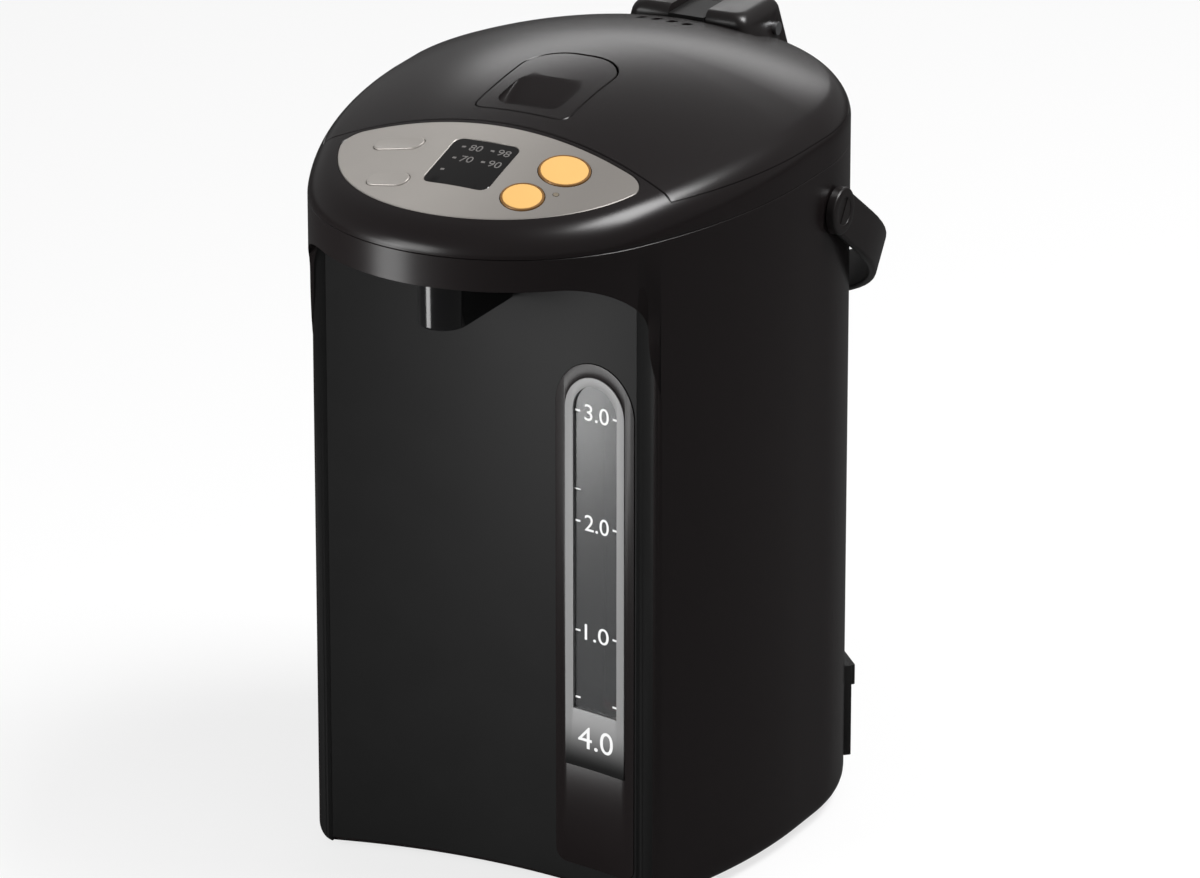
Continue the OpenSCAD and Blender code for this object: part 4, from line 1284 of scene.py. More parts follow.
@dataclass
class Gauge:
    """The front panel and the arched insert in it, with its grey frame, window, figures and marks.

    Depths are behind the concave front. Figures and ticks have a width and a height, and their places
    are from the gauge's middle and from the floor.
    """

    form: BodyForm
    case: Case
    middle: float = 53.2 * MM
    insert_half: float = 21.2 * MM
    insert_foot: float = 6.0 * MM
    insert_span: Point = (10.2 * MM, 247.3 * MM)
    insert_depth: float = -0.5 * MM
    insert_gap: float = 0.25 * MM
    frame_half: float = 15.9 * MM
    frame_depth: float = -1.0 * MM
    band: float = 4.1 * MM
    top: float = 241.3 * MM
    low: float = 60.0 * MM
    fit: float = 0.1 * MM
    window_low: float = 87.0 * MM
    window_depths: Point = (0.4 * MM, 1.2 * MM)
    print_depths: Point = (0.34 * MM, -1.03 * MM)
    litres: tuple[tuple[str, float], ...] = (("3.0", 224.5 * MM), ("2.0", 173.9 * MM), ("1.0", 123.3 * MM))
    litre_shift: float = 0.2 * MM
    litre_size: Point = (13.0 * MM, 7.4 * MM)
    full_at: Point = (0.4 * MM, 74.5 * MM)
    full_size: Point = (19.0 * MM, 10.2 * MM)
    tick_places: Point = (-9.9 * MM, 10.2 * MM)
    tick_size: Point = (2.6 * MM, 0.9 * MM)
    lowest_z: float = 92.0 * MM
    fine_at: Point = (-10.3 * MM, 188.5 * MM)
    fine_size: Point = (3.6 * MM, 0.5 * MM)

    def arch(self, half: float, low: float, high: float, foot: float = 0.0) -> list[Point]:
        """Front outline of an upright slab with a round top.

        Args:
            half: half of its width.
            low: height of its underside.
            high: height of its top.
            foot: radius of its lower corners, or 0 for sharp ones.

        Returns:
            The outline, anticlockwise.
        """
        left, right = self.middle - half, self.middle + half
        bottom = [(left, low), (right, low)]
        if foot:
            bottom = [*arc((left + foot, low + foot), foot, 180, 270, 8),
                      *arc((right - foot, low + foot), foot, 270, 360, 8)]
        return [*bottom, *arc((self.middle, high - half), half, 0, 180, 48)]

    def slab(self, name: str, near: float, far: float, outline: list[Point], hole: list[Point] | None,
             edge: float) -> Piece:
        """Piece of the concave front inside one outline and outside another.

        Args:
            name: name of the piece.
            near: depth of its front.
            far: depth of its rear.
            outline: its outline seen from the front.
            hole: outline of its hole, if it has one.
            edge: rounding of its edges.

        Returns:
            The new piece.
        """
        form = self.form
        piece = form.face_layer(near, far, form.base, form.case_top, self.case.layer_half)
        piece.name = name
        carve(piece, form.face_cutter(outline), Cut.KEEP)
        if hole:
            carve(piece, form.face_cutter(hole))
        return round_edges(clean(piece, 0.01 * MM, 0.05), edge, 2) if edge else smooth(piece)

    def mark(self, text: str, x: float, z: float, size: Point) -> Piece:
        """Number that lies on the front.

        Args:
            text: the characters.
            x: its place to the right of the gauge's middle.
            z: its height.
            size: its width and height.

        Returns:
            The new piece.
        """
        piece = number(text, size[1], size[0])
        depth = self.print_depths[0] if z > self.window_low else self.print_depths[1]
        for vertex in piece.data.vertices:
            across, up, out = vertex.co
            vertex.co = self.form.on_face(self.middle + x + across, z + up, depth - out)
        piece.data.update()
        return piece

    def tick(self, x: float, z: float, size: Point) -> Piece:
        """Short level line on the window.

        Args:
            x: its place to the right of the gauge's middle.
            z: its height.
            size: its length and height.

        Returns:
            The new piece.
        """
        half, tall, thin, middle = size[0] / 2, size[1] / 2, 0.03 * MM, self.middle + x
        piece = block((middle - half, -thin, z - tall), (middle + half, thin, z + tall))
        for vertex in piece.data.vertices:
            across, out, up = vertex.co
            vertex.co = self.form.on_face(across, up, self.print_depths[0] + out)
        return piece

    def marks(self) -> Piece:
        """Builds the figures and ticks as one piece.

        Returns:
            The new piece.
        """
        parts = [self.mark("4.0", *self.full_at, self.full_size)]
        parts += [self.mark(text, self.litre_shift, z, self.litre_size) for text, z in self.litres]
        for z in (*(z for _, z in self.litres), self.lowest_z):
            parts += [self.tick(x, z, self.tick_size) for x in self.tick_places]
        parts.append(self.tick(*self.fine_at, self.fine_size))
        return joined("gauge_figures", parts)

    def build(self) -> None:
        """Builds and dresses the panel, the insert, the frame, the window and the figures."""
        form, gap, fit, back = self.form, self.insert_gap, self.fit, self.form.panel_thickness
        low, high, inner = form.base + self.insert_span[0], self.insert_span[1], self.frame_half - self.band
        hole = self.arch(self.insert_half + gap, low - gap, high + gap, self.insert_foot)
        panel = carve(self.case.panel(), form.face_cutter(hole))
        hand_in(smooth(panel), SATIN_PANEL, "pot", "panel", "front_panel")
        cover = self.slab("gauge_insert", self.insert_depth, back,
                          self.arch(self.insert_half, low, high, self.insert_foot),
                          self.arch(self.frame_half + fit, self.low - fit, self.top + fit), 0.35 * MM)
        hand_in(cover, GLOSS_CASE, "pot", "case", "gauge_cover")
        ring = self.slab("gauge_ring", self.frame_depth, back, self.arch(self.frame_half, self.low, self.top),
                         self.arch(inner, self.window_low, self.top - self.band), 0.4 * MM)
        hand_in(ring, GAUGE_GREY, "pot", "gauge_grey", "gauge_frame")
        glass = self.arch(inner - fit, self.window_low + fit, self.top - self.band - fit)
        window = self.slab("gauge_glass", *self.window_depths, glass, None, 0.0)
        hand_in(window, WINDOW, "pot", "gauge_window", "gauge_window")
        hand_in(self.marks(), PRINT_WHITE, "pot", "pump")


@dataclass
class Button:
    """A round cap, or a pill-shaped one, on the dome."""

    name: str
    at: Point
    radius: float = 0.0
    size: Point = (0.0, 0.0)

    def outline(self, inset: float) -> list[Point]:
        """Outline of the cap.

        Args:
            inset: how far it is drawn in.

        Returns:
            The outline, anticlockwise about the origin.
        """
        if self.radius:
            return arc((0.0, 0.0), self.radius - inset, 0, 357.5, 143)
        half, radius = (self.size[0] - self.size[1]) / 2, self.size[1] / 2 - inset
        return [*arc((half, 0.0), radius, -90, 90, 24), *arc((-half, 0.0), radius, 90, 270, 24)]

    def cap(self) -> Piece:
        """Builds the cap in its own frame, the dome at Z = 0."""
        return self.round_cap() if self.radius else self.pill_cap()

    def pill_cap(self) -> Piece:
        """Builds a pill-shaped cap with rounded edges and a slightly hollow face.

        Returns:
            The new piece.
        """
        skirt, top, edge, hollow, brim = -2.4 * MM, 0.5 * MM, 0.45 * MM, 0.28 * MM, 1.2 * MM
        rings = [[(x, y, skirt) for x, y in self.outline(0.0)]]
        for turn in map(math.radians, (0, 30, 60, 90)):
            height = top - edge * (1 - math.sin(turn))
            rings.append([(x, y, height) for x, y in self.outline(edge * (1 - math.cos(turn)))])
        rings.append([(x, y, hollow) for x, y in self.outline(brim)])
        return smooth(loft(self.name, rings), 50)

    def round_cap(self) -> Piece:
        """Builds a round cap with a groove inside its rim and a slightly domed face.

        Returns:
            The new piece.
        """
        r, top, skirt, groove = self.radius, 0.4 * MM, -2.2 * MM, 0.16 * MM
        profile = [(0, top + 0.22 * MM), (0.4 * r, top + 0.2 * MM), (0.75 * r, top + 0.1 * MM),
                   (r - 1.15 * MM, top), (r - 1.0 * MM, top - groove), (r - 0.8 * MM, top - groove),
                   (r - 0.65 * MM, top), (r - 0.25 * MM, top - 0.04 * MM), (r - 0.05 * MM, top - 0.25 * MM),
                   (r, top - 0.5 * MM), (r, skirt), (0, skirt)]
        return smooth(turned(self.name, profile, 128), 40)


@dataclass
class ControlPanel:
    """The eye-shaped silver plate with its display, its lamp and its four buttons.

    The places of the prints are from the middle of the display, in millimetres, and so is the profile
    of a button's hole: the gap round the cap at heights over the dome.
    """

    form: BodyForm
    thickness: float = 1.4 * MM
    plate_gap: float = 0.05 * MM
    bow: float = 375.0 * MM
    tip: float = 8.2 * MM
    setback: float = 2.6 * MM
    margin: float = 13.2 * MM
    chamfer: float = 0.3 * MM
    hole_profile: tuple[Point, ...] = ((0.3, -8), (0.3, -0.3), (0.55, 0.03), (0.55, 8))
    lens_bore: float = 1.45 * MM
    display_size: Point = (31.0 * MM, 33.0 * MM)
    display_corner: float = 4.0 * MM
    display_gap: float = 0.15 * MM
    display_sunk: float = 0.15 * MM
    display_thickness: float = 1.2 * MM
    print_lift: float = -0.12 * MM
    figure_size: Point = (5.9 * MM, 4.3 * MM)
    figures: tuple[tuple[str, float, float], ...] = (
        ("80", -3.3, 10.4), ("98", 10.2, 10.4), ("70", -3.3, 1.8), ("90", 10.2, 1.8))
    lamp_half: Place = (0.9 * MM, 0.55 * MM, 0.03 * MM)
    lamps: tuple[Point, ...] = ((-9.2, 10.4), (4.6, 10.4), (-9.2, 1.8), (4.6, 1.8), (-10.2, -7.0))
    stem_radius: float = 2.0 * MM
    stem_start: float = 1.5 * MM
    stem_clear: float = 2.6 * MM
    rim_width: float = 1.0 * MM
    buttons: list[Button] = field(default_factory=list)

    def __post_init__(self) -> None:
        """Places the buttons by the rear edge of the plate."""
        rear = self.rear
        self.buttons = [
            Button("dispense_cap", (39.7 * MM, rear - 19.3 * MM), 11.2 * MM),
            Button("drip_cap", (32.1 * MM, rear - 43.0 * MM), 9.4 * MM),
            Button("repeat_cap", (-39.9 * MM, rear - 19.4 * MM), size=(24.0 * MM, 9.4 * MM)),
            Button("select_cap", (-30.5 * MM, rear - 46.4 * MM), size=(20.0 * MM, 9.4 * MM)),
        ]

    @property
    def rear(self) -> float:
        """Depth of the middle of the plate's rear edge."""
        return self.form.lid_front - self.setback

    @property
    def display_at(self) -> Point:
        """Centre of the display."""
        return (0.5 * MM, self.rear - 29.4 * MM)

    def eye(self, inset: float) -> list[Point]:
        """Outline of the plate with its rounded tips.

        Args:
            inset: how far it is drawn in.

        Returns:
            The outline, anticlockwise.
        """
        nose, far = self.form.nose_centre, (0.0, self.rear - self.bow)
        radius = self.form.nose_radius - self.margin
        tip = meet(far, self.bow - self.tip, nose, radius - self.tip)
        tip = (abs(tip[0]), tip[1])
        front = arc(nose, radius - inset, -90, heading(nose, tip), 64)
        bend = arc(tip, self.tip - inset, heading(nose, tip), heading(far, tip), 16, 1)
        back = arc(far, self.bow - inset, heading(far, tip), 90, 32, 1)
        return mirrored([*front, *bend, *back])

    def display_outline(self, inset: float) -> list[Point]:
        """Outline of the display.

        Args:
            inset: how far it is drawn in.

        Returns:
            The outline, anticlockwise.
        """
        wide, deep = self.display_size
        size, corner = (wide - 2 * inset, deep - 2 * inset), self.display_corner - inset
        return rounded_box(size, corner, self.display_at, 10)

    def layer(self, name: str, outline: Callable[[float], list[Point]], thickness: float,
              sunk: float) -> Piece:
        """Thin piece of the dome inside an outline, with a chamfered edge.

        Args:
            name: name of the piece.
            outline: gives the outline for an inset.
            thickness: its thickness.
            sunk: how far it lies under the dome's surface.

        Returns:
            The new piece.
        """
        form = self.form
        piece = form.skin(name, sunk)
        carve(piece, form.shaft(outline, form.case_top + 2 * MM, self.chamfer), Cut.KEEP)
        return carve(piece, form.under(sunk + thickness))

    def plate(self) -> Piece:
        """Builds the plate with its holes.

        Returns:
            The new piece.
        """
        form, gap = self.form, self.display_gap
        plate = self.layer("silver_plate", self.eye, self.thickness - self.plate_gap, 0.0)
        for button in self.buttons:
            hole = [[(x, y, z * MM) for x, y in button.outline(-play * MM)] for play, z in self.hole_profile]
            carve(plate, set_on(loft("hole", hole), form.seat(*button.at)))
        opening = form.shaft(lambda inset: self.display_outline(inset - gap), form.case_top + 2 * MM,
                             -0.25 * MM)
        carve(plate, opening)
        lens = middle_of("indicator_lens")
        carve(plate, rod(lens, self.lens_bore, 12 * MM, form.normal(lens.x, lens.y), 32))
        return smooth(plate)

    def laid(self, piece: Piece, x: float, y: float) -> Piece:
        """Lays a flat piece on the display.

        Args:
            piece: the piece, about the origin.
            x: its place from the display's middle, to the right, in millimetres.
            y: its place from the display's middle, to the rear, in millimetres.

        Returns:
            The piece.
        """
        middle = self.display_at
        for vertex in piece.data.vertices:
            px, py = middle[0] + x * MM + vertex.co.x, middle[1] + y * MM + vertex.co.y
            vertex.co = (px, py, self.form.crown(px, py) + vertex.co.z + self.print_lift)
        piece.data.update()
        return piece

    def prints(self) -> Piece:
        """Builds the temperatures and the small square lamps of the display as one piece.

        Returns:
            The new piece.
        """
        wide, tall = self.figure_size
        parts = [self.laid(number(text, tall, wide), x, y) for text, x, y in self.figures]
        low = tuple(-half for half in self.lamp_half)
        parts += [self.laid(block(low, self.lamp_half), x, y) for x, y in self.lamps]
        return joined("display_prints", parts)

    def capped(self, button: Button, body: str) -> Piece:
        """Builds a button in its place: its cap with a dressed rim, and the stem down to its switch.

        Args:
            button: the button.
            body: its body, which is also the name of its node.

        Returns:
            The dressed piece.
        """
        finish = GOLD if button.radius else SILVER_WITH_PAINTED_SHADE
        cap, up = button.cap(), self.form.normal(*button.at)
        finish.dress(cap)
        if button.radius:
            inner = button.radius - self.rim_width
            GOLD_RIM.dress_where(cap, lambda at: math.hypot(at.x, at.y) > inner)
        set_on(cap, self.form.seat(*button.at))
        centre = Vector((*button.at, self.form.crown(*button.at)))
        start, end = self.stem_start, (centre.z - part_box(body)[0].z) / up.z - self.stem_clear
        stem = rod(centre - up * (end + start) / 2, self.stem_radius, end - start, up, 32)
        finish.dress(stem)
        return joined(button.name, [cap, smooth(stem)])

    def build(self) -> None:
        """Builds and dresses the plate, the display and the buttons."""
        hand_in(self.plate(), SILVER_WITH_PAINTED_SHADE, "pot", "silver", "control_panel")
        window = self.layer("display_glass", self.display_outline, self.display_thickness, self.display_sunk)
        hand_in(smooth(window), DISPLAY, "pot", "display", "display_window")
        hand_in(self.prints(), PRINT_GREY, "pot", "lens")
        bodies = ("dispense_button", "drip_button", "repeat_button", "select_button")
        for button, body in zip(self.buttons, bodies):
            hand_in(self.capped(button, body), None, body, "gold" if button.radius else "silver", body)


@dataclass
class Head:
    """The upper moulding, with the opening of the lid and the pocket of the control panel.

    The seat is the ring under the lid's edge, and the wall stands ahead of the lid's opening.
    """

    form: BodyForm
    panel: ControlPanel
    seat_width: Point = (1.0 * MM, 9.0 * MM)
    seat_span: Point = (2.5 * MM, 2.0 * MM)
    hinge_half: float = 36.4 * MM
    ledge: float = 2.2 * MM
    wall_inset: float = 0.8 * MM
    wall_rise: float = 3.2 * MM
    wall_span: Point = (20.0 * MM, 14.0 * MM)
    latch_gap: float = 0.4 * MM
    button_gap: float = 1.0 * MM

    @property
    def aside(self) -> float:
        """Half of the width of a cutter that is wider than the body."""
        return self.form.half_width + 10 * MM

    def seat(self) -> Piece:
        """Builds the ring under the lid's edge, open at the front and at the hinge.

        Returns:
            The new piece.
        """
        form, far = self.form, self.aside
        outer, inner = self.seat_width
        seat = prism(form.egg(outer), form.lid_z - self.seat_span[0], form.lid_z + self.seat_span[1])
        carve(seat, prism(form.egg(inner), form.lid_z - 3 * MM, form.lid_z + 3 * MM))
        low, high = form.lid_z - 4 * MM, form.lid_z + 4 * MM
        carve(seat, block((-far, form.front - OVER, low), (far, form.lid_front - 12 * MM, high)))
        return carve(seat, block((-self.hinge_half, 0, low), (self.hinge_half, form.rear + OVER, high)))

    def wall(self) -> Piece:
        """Builds the wall ahead of the lid's opening.

        Returns:
            The new piece.
        """
        form, far, lid = self.form, self.aside, self.form.lid_outline
        wall = form.dome(self.wall_inset, form.case_top - 3 * MM, fineness=HIDDEN)
        outer = prism(lid(-form.lid_gap - self.ledge), form.case_top + self.wall_rise, form.crown_top)
        carve(wall, outer, Cut.KEEP)
        carve(wall, block((-far, form.lid_front - self.wall_span[0], form.case_top),
                          (far, form.lid_front + self.wall_span[1], form.crown_top)), Cut.KEEP)
        return carve(wall, prism(lid(-form.lid_gap), form.case_top, form.crown_top + OVER))

    def shell(self) -> Piece:
        """Builds the head: the domed shell with its seat, its wall and its openings.

        Returns:
            The new piece.
        """
        form, gap = self.form, self.latch_gap
        head = form.dome(0.0, form.case_top + 0.3 * MM)
        head.name = "head_shell"
        cavity = form.dome(form.wall, form.case_top - 3 * MM, fineness=HIDDEN)
        carve(head, carve(cavity, self.seat()))
        opening = form.shaft(lambda inset: form.lid_outline(inset - form.lid_gap), form.lid_z, -0.35 * MM)
        carve(head, opening)
        carve(head, self.wall(), Cut.ADD)
        low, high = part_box("latch_bolt")
        carve(head, block((low.x - gap, form.lid_front - OVER, low.z - gap),
                          (high.x + gap, form.lid_front + 1 * MM, high.z + gap)))
        return self.pocket(head)

    def pocket(self, head: Piece) -> Piece:
        """Sinks the pocket of the control panel and bores the holes of its buttons.

        Args:
            head: the head.

        Returns:
            The head.
        """
        form = self.form
        room = form.shaft(lambda inset: self.panel.eye(inset - 0.2 * MM), form.case_top + 1 * MM, -0.3 * MM)
        carve(room, form.under(self.panel.thickness))
        carve(head, room)
        for button in self.panel.buttons:
            hole = prism(button.outline(-self.button_gap), -10 * MM, 10 * MM)
            carve(head, set_on(hole, form.seat(*button.at)))
        return smooth(head)

    def build(self) -> None:
        """Builds and dresses the head."""
        hand_in(self.shell(), GLOSS_CASE, "pot", "case", "head_cover")


@dataclass
class Lid:
    """The lid's shell with its steam vents, and the flap that releases it.

    The flap has tight corners at the front and wide ones at the back, and under it two eyes for its pin.
    The front, back, half width and corners of its finger dish are given at the floor and at the surface.
    """

    form: BodyForm
    thickness: float = 2.5 * MM
    rim: float = 9.0 * MM
    underside: float = 0.3 * MM
    chamfer: float = 0.35 * MM
    flap_half: float = 22.5 * MM
    flap_front: float = 11.0 * MM
    flap_length: float = 62.0 * MM
    flap_corners: Point = (5.0 * MM, 18.0 * MM)
    flap_thickness: float = 3.0 * MM
    flap_play: float = 0.7 * MM
    cup_half: float = 17.5 * MM
    cup_span: Point = (3.0 * MM, 37.0 * MM)
    cup_wall: float = 2.0 * MM
    dish_setback: float = 5.0 * MM
    dish_depth: float = 4.2 * MM
    dish_front: Point = (5.5 * MM, 0.0)
    dish_back: Point = (9.0 * MM, 30.0 * MM)
    dish_half: Point = (10.5 * MM, 15.5 * MM)
    dish_corner: Point = (2.0 * MM, 8.0 * MM)
    eye_at: Point = (12.0 * MM, 1.0 * MM)
    eye_size: Point = (3.2 * MM, 5.0 * MM)
    eye_bore: float = 1.25 * MM
    vent_count: int = 4
    vent_back: float = 50.0 * MM
    vent_pitch: float = 7.5 * MM
    vent_size: Point = (8.0 * MM, 3.4 * MM)

    def flap_outline(self, inset: float, shift: float = 0.0) -> list[Point]:
        """Outline of the flap.

        Args:
            inset: how far it is drawn in.
            shift: how far it is moved to the rear.

        Returns:
            The outline, anticlockwise.
        """
        front = self.form.lid_front + self.flap_front + shift
        back, half, (tight, wide) = front + self.flap_length, self.flap_half, self.flap_corners
        return mirrored([(0.0, front + inset), *arc((half - tight, front + tight), tight - inset, -90, 0, 10),
                         *arc((half - wide, back - wide), wide - inset, 0, 90, 24), (0.0, back - inset)])

    def hinge_room(self, more: float) -> Piece:
        """Space that the lid keeps clear of at the hinge.

        Args:
            more: how much wider it is than the opening.

        Returns:
            The new solid.
        """
        low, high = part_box("hinge_housing")
        aside, ahead, far = 0.4 * MM, 0.6 * MM, 20 * MM
        return block((low.x - aside - more, low.y - ahead - more, self.form.lid_z - far),
                     (high.x + aside + more, self.form.rear + far, self.form.crown_top + far))

    def fittings_rooms(self, low: float) -> list[Piece]:
        """Cutters for the flap's pin, the latch bolt and the hinge arm.

        Args:
            low: height of the lid's underside.

        Returns:
            The new solids.
        """
        pin, bolt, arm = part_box("flap_pin"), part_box("latch_bolt"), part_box("hinge_arm")
        gap = 0.3 * MM
        return [
            block((pin[0].x - 1 * MM, pin[0].y - 1.6 * MM, low + 3 * MM),
                  (pin[1].x + 1 * MM, pin[1].y + 1.6 * MM, pin[1].z + 0.2 * MM)),
            block((bolt[0].x - gap, bolt[0].y - 4 * MM, bolt[0].z - gap),
                  (bolt[1].x + gap, bolt[1].y + OVER, bolt[1].z + gap)),
            block((arm[0].x - 0.1 * MM, arm[0].y, low - 1 * MM),
                  (arm[1].x + 0.1 * MM, arm[1].y, arm[1].z - 4 * MM)),
        ]

    def shell(self) -> Piece:
        """Builds the hollow lid with its openings and vents.

        Returns:
            The new piece.
        """
        form, low = self.form, self.form.lid_z + self.underside
        lid = form.skin("lid_skin")
        carve(lid, form.shaft(form.lid_outline, low, self.chamfer), Cut.KEEP)
        room = form.dome(self.thickness, form.case_top - 3 * MM, fineness=HIDDEN)
        carve(room, prism(form.lid_outline(self.rim), form.lid_z - 2 * MM, form.crown_top), Cut.KEEP)
        carve(room, self.hinge_room(self.thickness))
        carve(lid, room)
        carve(lid, self.hinge_room(0.0))
        for shift in (0.0, self.flap_play):
            well = form.shaft(lambda inset, s=shift: self.flap_outline(inset - form.lid_gap, s), form.lid_z,
                              -0.3 * MM)
            carve(lid, well)
        for cutter in self.fittings_rooms(low):
            carve(lid, cutter)
        for i in range(self.vent_count):
            x = (i - (self.vent_count - 1) / 2) * self.vent_pitch
            y = form.back_centre[1] + self.vent_back
            vent = Button("vent", (x, y), size=self.vent_size).outline(0.0)
            carve(lid, prism([(x - v, y + u) for u, v in vent], low + 4 * MM, form.crown_top + 4 * MM))
        return smooth(lid)

    def flap(self) -> Piece:
        """Builds the flap with its finger dish and the two eyes for its pin.

        Returns:
            The new piece.
        """
        form, half = self.form, self.cup_half
        front = form.lid_front + self.flap_front
        near, far = front + self.cup_span[0], front + self.cup_span[1]
        flap = form.skin("flap_skin")
        carve(flap, form.shaft(self.flap_outline, form.lid_z + 2 * MM, self.chamfer), Cut.KEEP)
        hollow = form.under(self.flap_thickness)
        cup = block((-half, near, form.lid_z), (half, far, form.crown_top))
        carve(cup, form.under(self.dish_depth + self.cup_wall))
        carve(flap, carve(hollow, cup))
        carve(flap, self.dish(front + self.dish_setback))
        at = middle_of("flap_pin")
        for side in (-1, 1):
            spot = (side * self.eye_at[0], at.y, at.z - self.eye_at[1])
            carve(flap, rod(spot, *self.eye_size, (1, 0, 0), 32), Cut.ADD)
        return smooth(carve(flap, rod(at, self.eye_bore, 60 * MM, (1, 0, 0), 24)))

    def dish(self, front: float) -> Piece:
        """Cutter of the finger dish: deepest at its front, running out to the back.

        Args:
            front: depth of its front edge at the surface.

        Returns:
            The new solid.
        """
        rings, last = [], 14
        for i in range(last + 1):
            turn = math.radians(min(90.0, 90 * i / (last - 1)))
            deep, spread = math.cos(turn), math.sin(turn)
            low, high = between(self.dish_front, spread), between(self.dish_back, 1 - deep)
            half, corner = between(self.dish_half, spread), between(self.dish_corner, spread)
            middle = (0.0, front + (low + high) / 2)
            outline = rounded_box((2 * half, high - low), min(corner, 0.48 * (high - low)), middle)
            lift = 8 * MM if i == last else -deep * self.dish_depth
            rings.append([(x, y, self.form.crown(x, y) + lift) for x, y in outline])
        return loft("dish", rings)

    def build(self) -> None:
        """Builds and dresses the lid and its flap."""
        hand_in(self.shell(), GLOSS_CASE, "lid", "case", "lid_shell")
        hand_in(self.flap(), GLOSS_CASE, "release_flap", "case", "lid_release")


@dataclass
class HingeHousing:
    """The cover of the hinge behind the lid: a block that narrows towards its rounded top."""

    taper: Point = (8.0 * MM, 3.0 * MM)
    corner: float = 5.0 * MM
    edge: float = 1.2 * MM

    def form(self) -> Piece:
        """Builds the tapered solid in the box of the node.

        Returns:
            The new solid.
        """
        low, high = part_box("hinge_housing")
        size, rings, steps = high - low, [], 8
        middle = tuple(middle_of("hinge_housing").xy)
        for i in range(-1, steps + 1):
            turn = math.radians(max(0, i) * 90 / steps)
            share = 0.0 if i < 0 else 1 - self.corner * (1 - math.sin(turn)) / size.z
            inward = self.corner * 0.8 * (1 - math.cos(turn))
            plan = tuple(full - 2 * (lean * share + inward) for full, lean in zip(size, self.taper))
            outline = rounded_box(plan, self.corner, middle)
            rings.append([(x, y, low.z + size.z * share) for x, y in outline])
        return loft("taper", rings)

    def build(self) -> None:
        """Builds and dresses the housing, with the slot and the bores of its node."""
        copy = carve(merged_copy("hinge_housing", "hinge_block"), self.form(), Cut.KEEP)
        hand_in(round_edges(clean(copy), self.edge, 2, 50), SATIN_TRIM, "pot", "trim", "hinge_housing")


@dataclass
class CarryHandle:
    """The bail: two flat arms, a thicker grip behind the pot and round caps on the pivots."""

    inner: float = 105.0 * MM
    reach: float = 127.27 * MM
    start: float = 30.0 * MM
    tilt: float = 35.0
    width: float = 20.0 * MM
    arm: float = 4.0 * MM
    grip: float = 8.0 * MM
    edge: float = 2.6 * MM
    pin: float = 4.0 * MM
    pin_length: float = 9.0 * MM
    cap_proud: float = 0.6 * MM
    cap_gap: float = 0.3 * MM

    @property
    def pivot(self) -> Vector:
        """Middle of the pivot line."""
        return middle_of("handle_bushings")

    def sections(self) -> list[tuple[Vector, Vector]]:
        """Walks along the bow, which is thickest behind the pot.

        Returns:
            Inner and outer points, from the right arm to the left one.
        """
        out, steps = self.inner + self.arm, 40
        right = [(Vector((self.inner, b)), Vector((out, b))) for b in (0.0, 10 * MM, 20 * MM)]
        bow = []
        for turn in (math.radians(180 / steps * i) for i in range(steps + 1)):
            c, s = math.cos(turn), math.sin(turn)
            thick = self.grip * (1 - abs(c))
            bow.append((Vector((self.inner * c, self.start + (self.reach - self.start) * s)),
                        Vector((out * c, self.start + (self.reach + thick - self.start) * s))))
        left = [(Vector((-a.x, a.y)), Vector((-b.x, b.y))) for a, b in reversed(right)]
        return [*right, *bow, *left]

    def bow(self) -> Piece:
        """Builds the bow as a chain of rounded sections.

        Returns:
            The new piece.
        """
        rings = []
        for inside, outside in self.sections():
            middle, thick = (inside + outside) / 2, (outside - inside).length
            across = (outside - inside).normalized()
            section = rounded_box((thick, self.width), min(0.42 * thick, self.edge), steps=6)
            rings.append([(middle.x + across.x * u, middle.y + across.y * u, v) for u, v in section])
        turn = Matrix.Translation(self.pivot) @ Matrix.Rotation(math.radians(-self.tilt), 4, "X")
        return smooth(set_on(face_outwards(loft("carry_bow", rings)), turn), 40)

    def cap(self, side: int) -> Piece:
        """Builds the round cap of one pivot with its stepped face and its pin.

        Args:
            side: 1 on the right, -1 on the left.

        Returns:
            The new piece.
        """
        r, face = self.width / 2 + self.cap_proud, self.arm
        profile = [(0, face - 0.7 * MM), (0.5 * r, face - 0.7 * MM), (0.56 * r, face - 0.6 * MM),
                   (0.6 * r, face - 0.1 * MM), (0.66 * r, face), (r - 1.3 * MM, face),
                   (r - 0.5 * MM, face - 0.3 * MM), (r - 0.1 * MM, face - 0.8 * MM), (r, face - 1.5 * MM),
                   (r, 0), (self.pin, 0), (self.pin, -self.pin_length), (0, -self.pin_length)]
        place = Matrix.Translation(self.pivot + Vector((side * (self.inner + self.cap_gap), 0, 0)))
        turn = Matrix.Rotation(math.radians(90 * side), 4, "Y")
        return smooth(set_on(turned("pivot_cap", profile), place @ turn))

    def build(self) -> None:
        """Builds and dresses the handle."""
        handle = joined("carry_bail", [self.bow(), self.cap(1), self.cap(-1)])
        hand_in(handle, SATIN_TRIM, "handle", "trim", "carry_handle")


class Fittings:
    """The nodes that keep their form, and those whose copy gets rounded edges."""

    def build(self) -> None:
        """Dresses the carried nodes and makes the rounded copies."""
        for name, look in ROUNDED_NODES.items():
            piece = round_edges(merged_copy(name, f"{name}_rounded"), look.width)
            hand_in(piece, look.finish, look.body, look.slot, name)
        for name, finish in NODE_FINISHES.items():
            finish.dress(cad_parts[name])
            LOG.info("%s: %s", name, finish.name)


@dataclass(frozen=True)
class Softbox:
    """A rectangular lamp that the camera doesn't see: its place, size, power in watts and aim."""

    name: str
    place: Place
    size: Point
    power: float
    aim: Place = (0.0, 0.0, 0.2)

    def hang(self) -> None:
        """Adds the lamp to the scene."""
        data = bpy.data.lights.new(self.name, "AREA")
        data.shape, data.energy = "RECTANGLE", self.power
        data.size, data.size_y = self.size
        lamp = bpy.data.objects.new(self.name, data)
        lamp.location, lamp.rotation_euler = self.place, facing(self.place, self.aim)
        lamp.visible_camera = False
        bpy.context.scene.collection.objects.link(lamp)


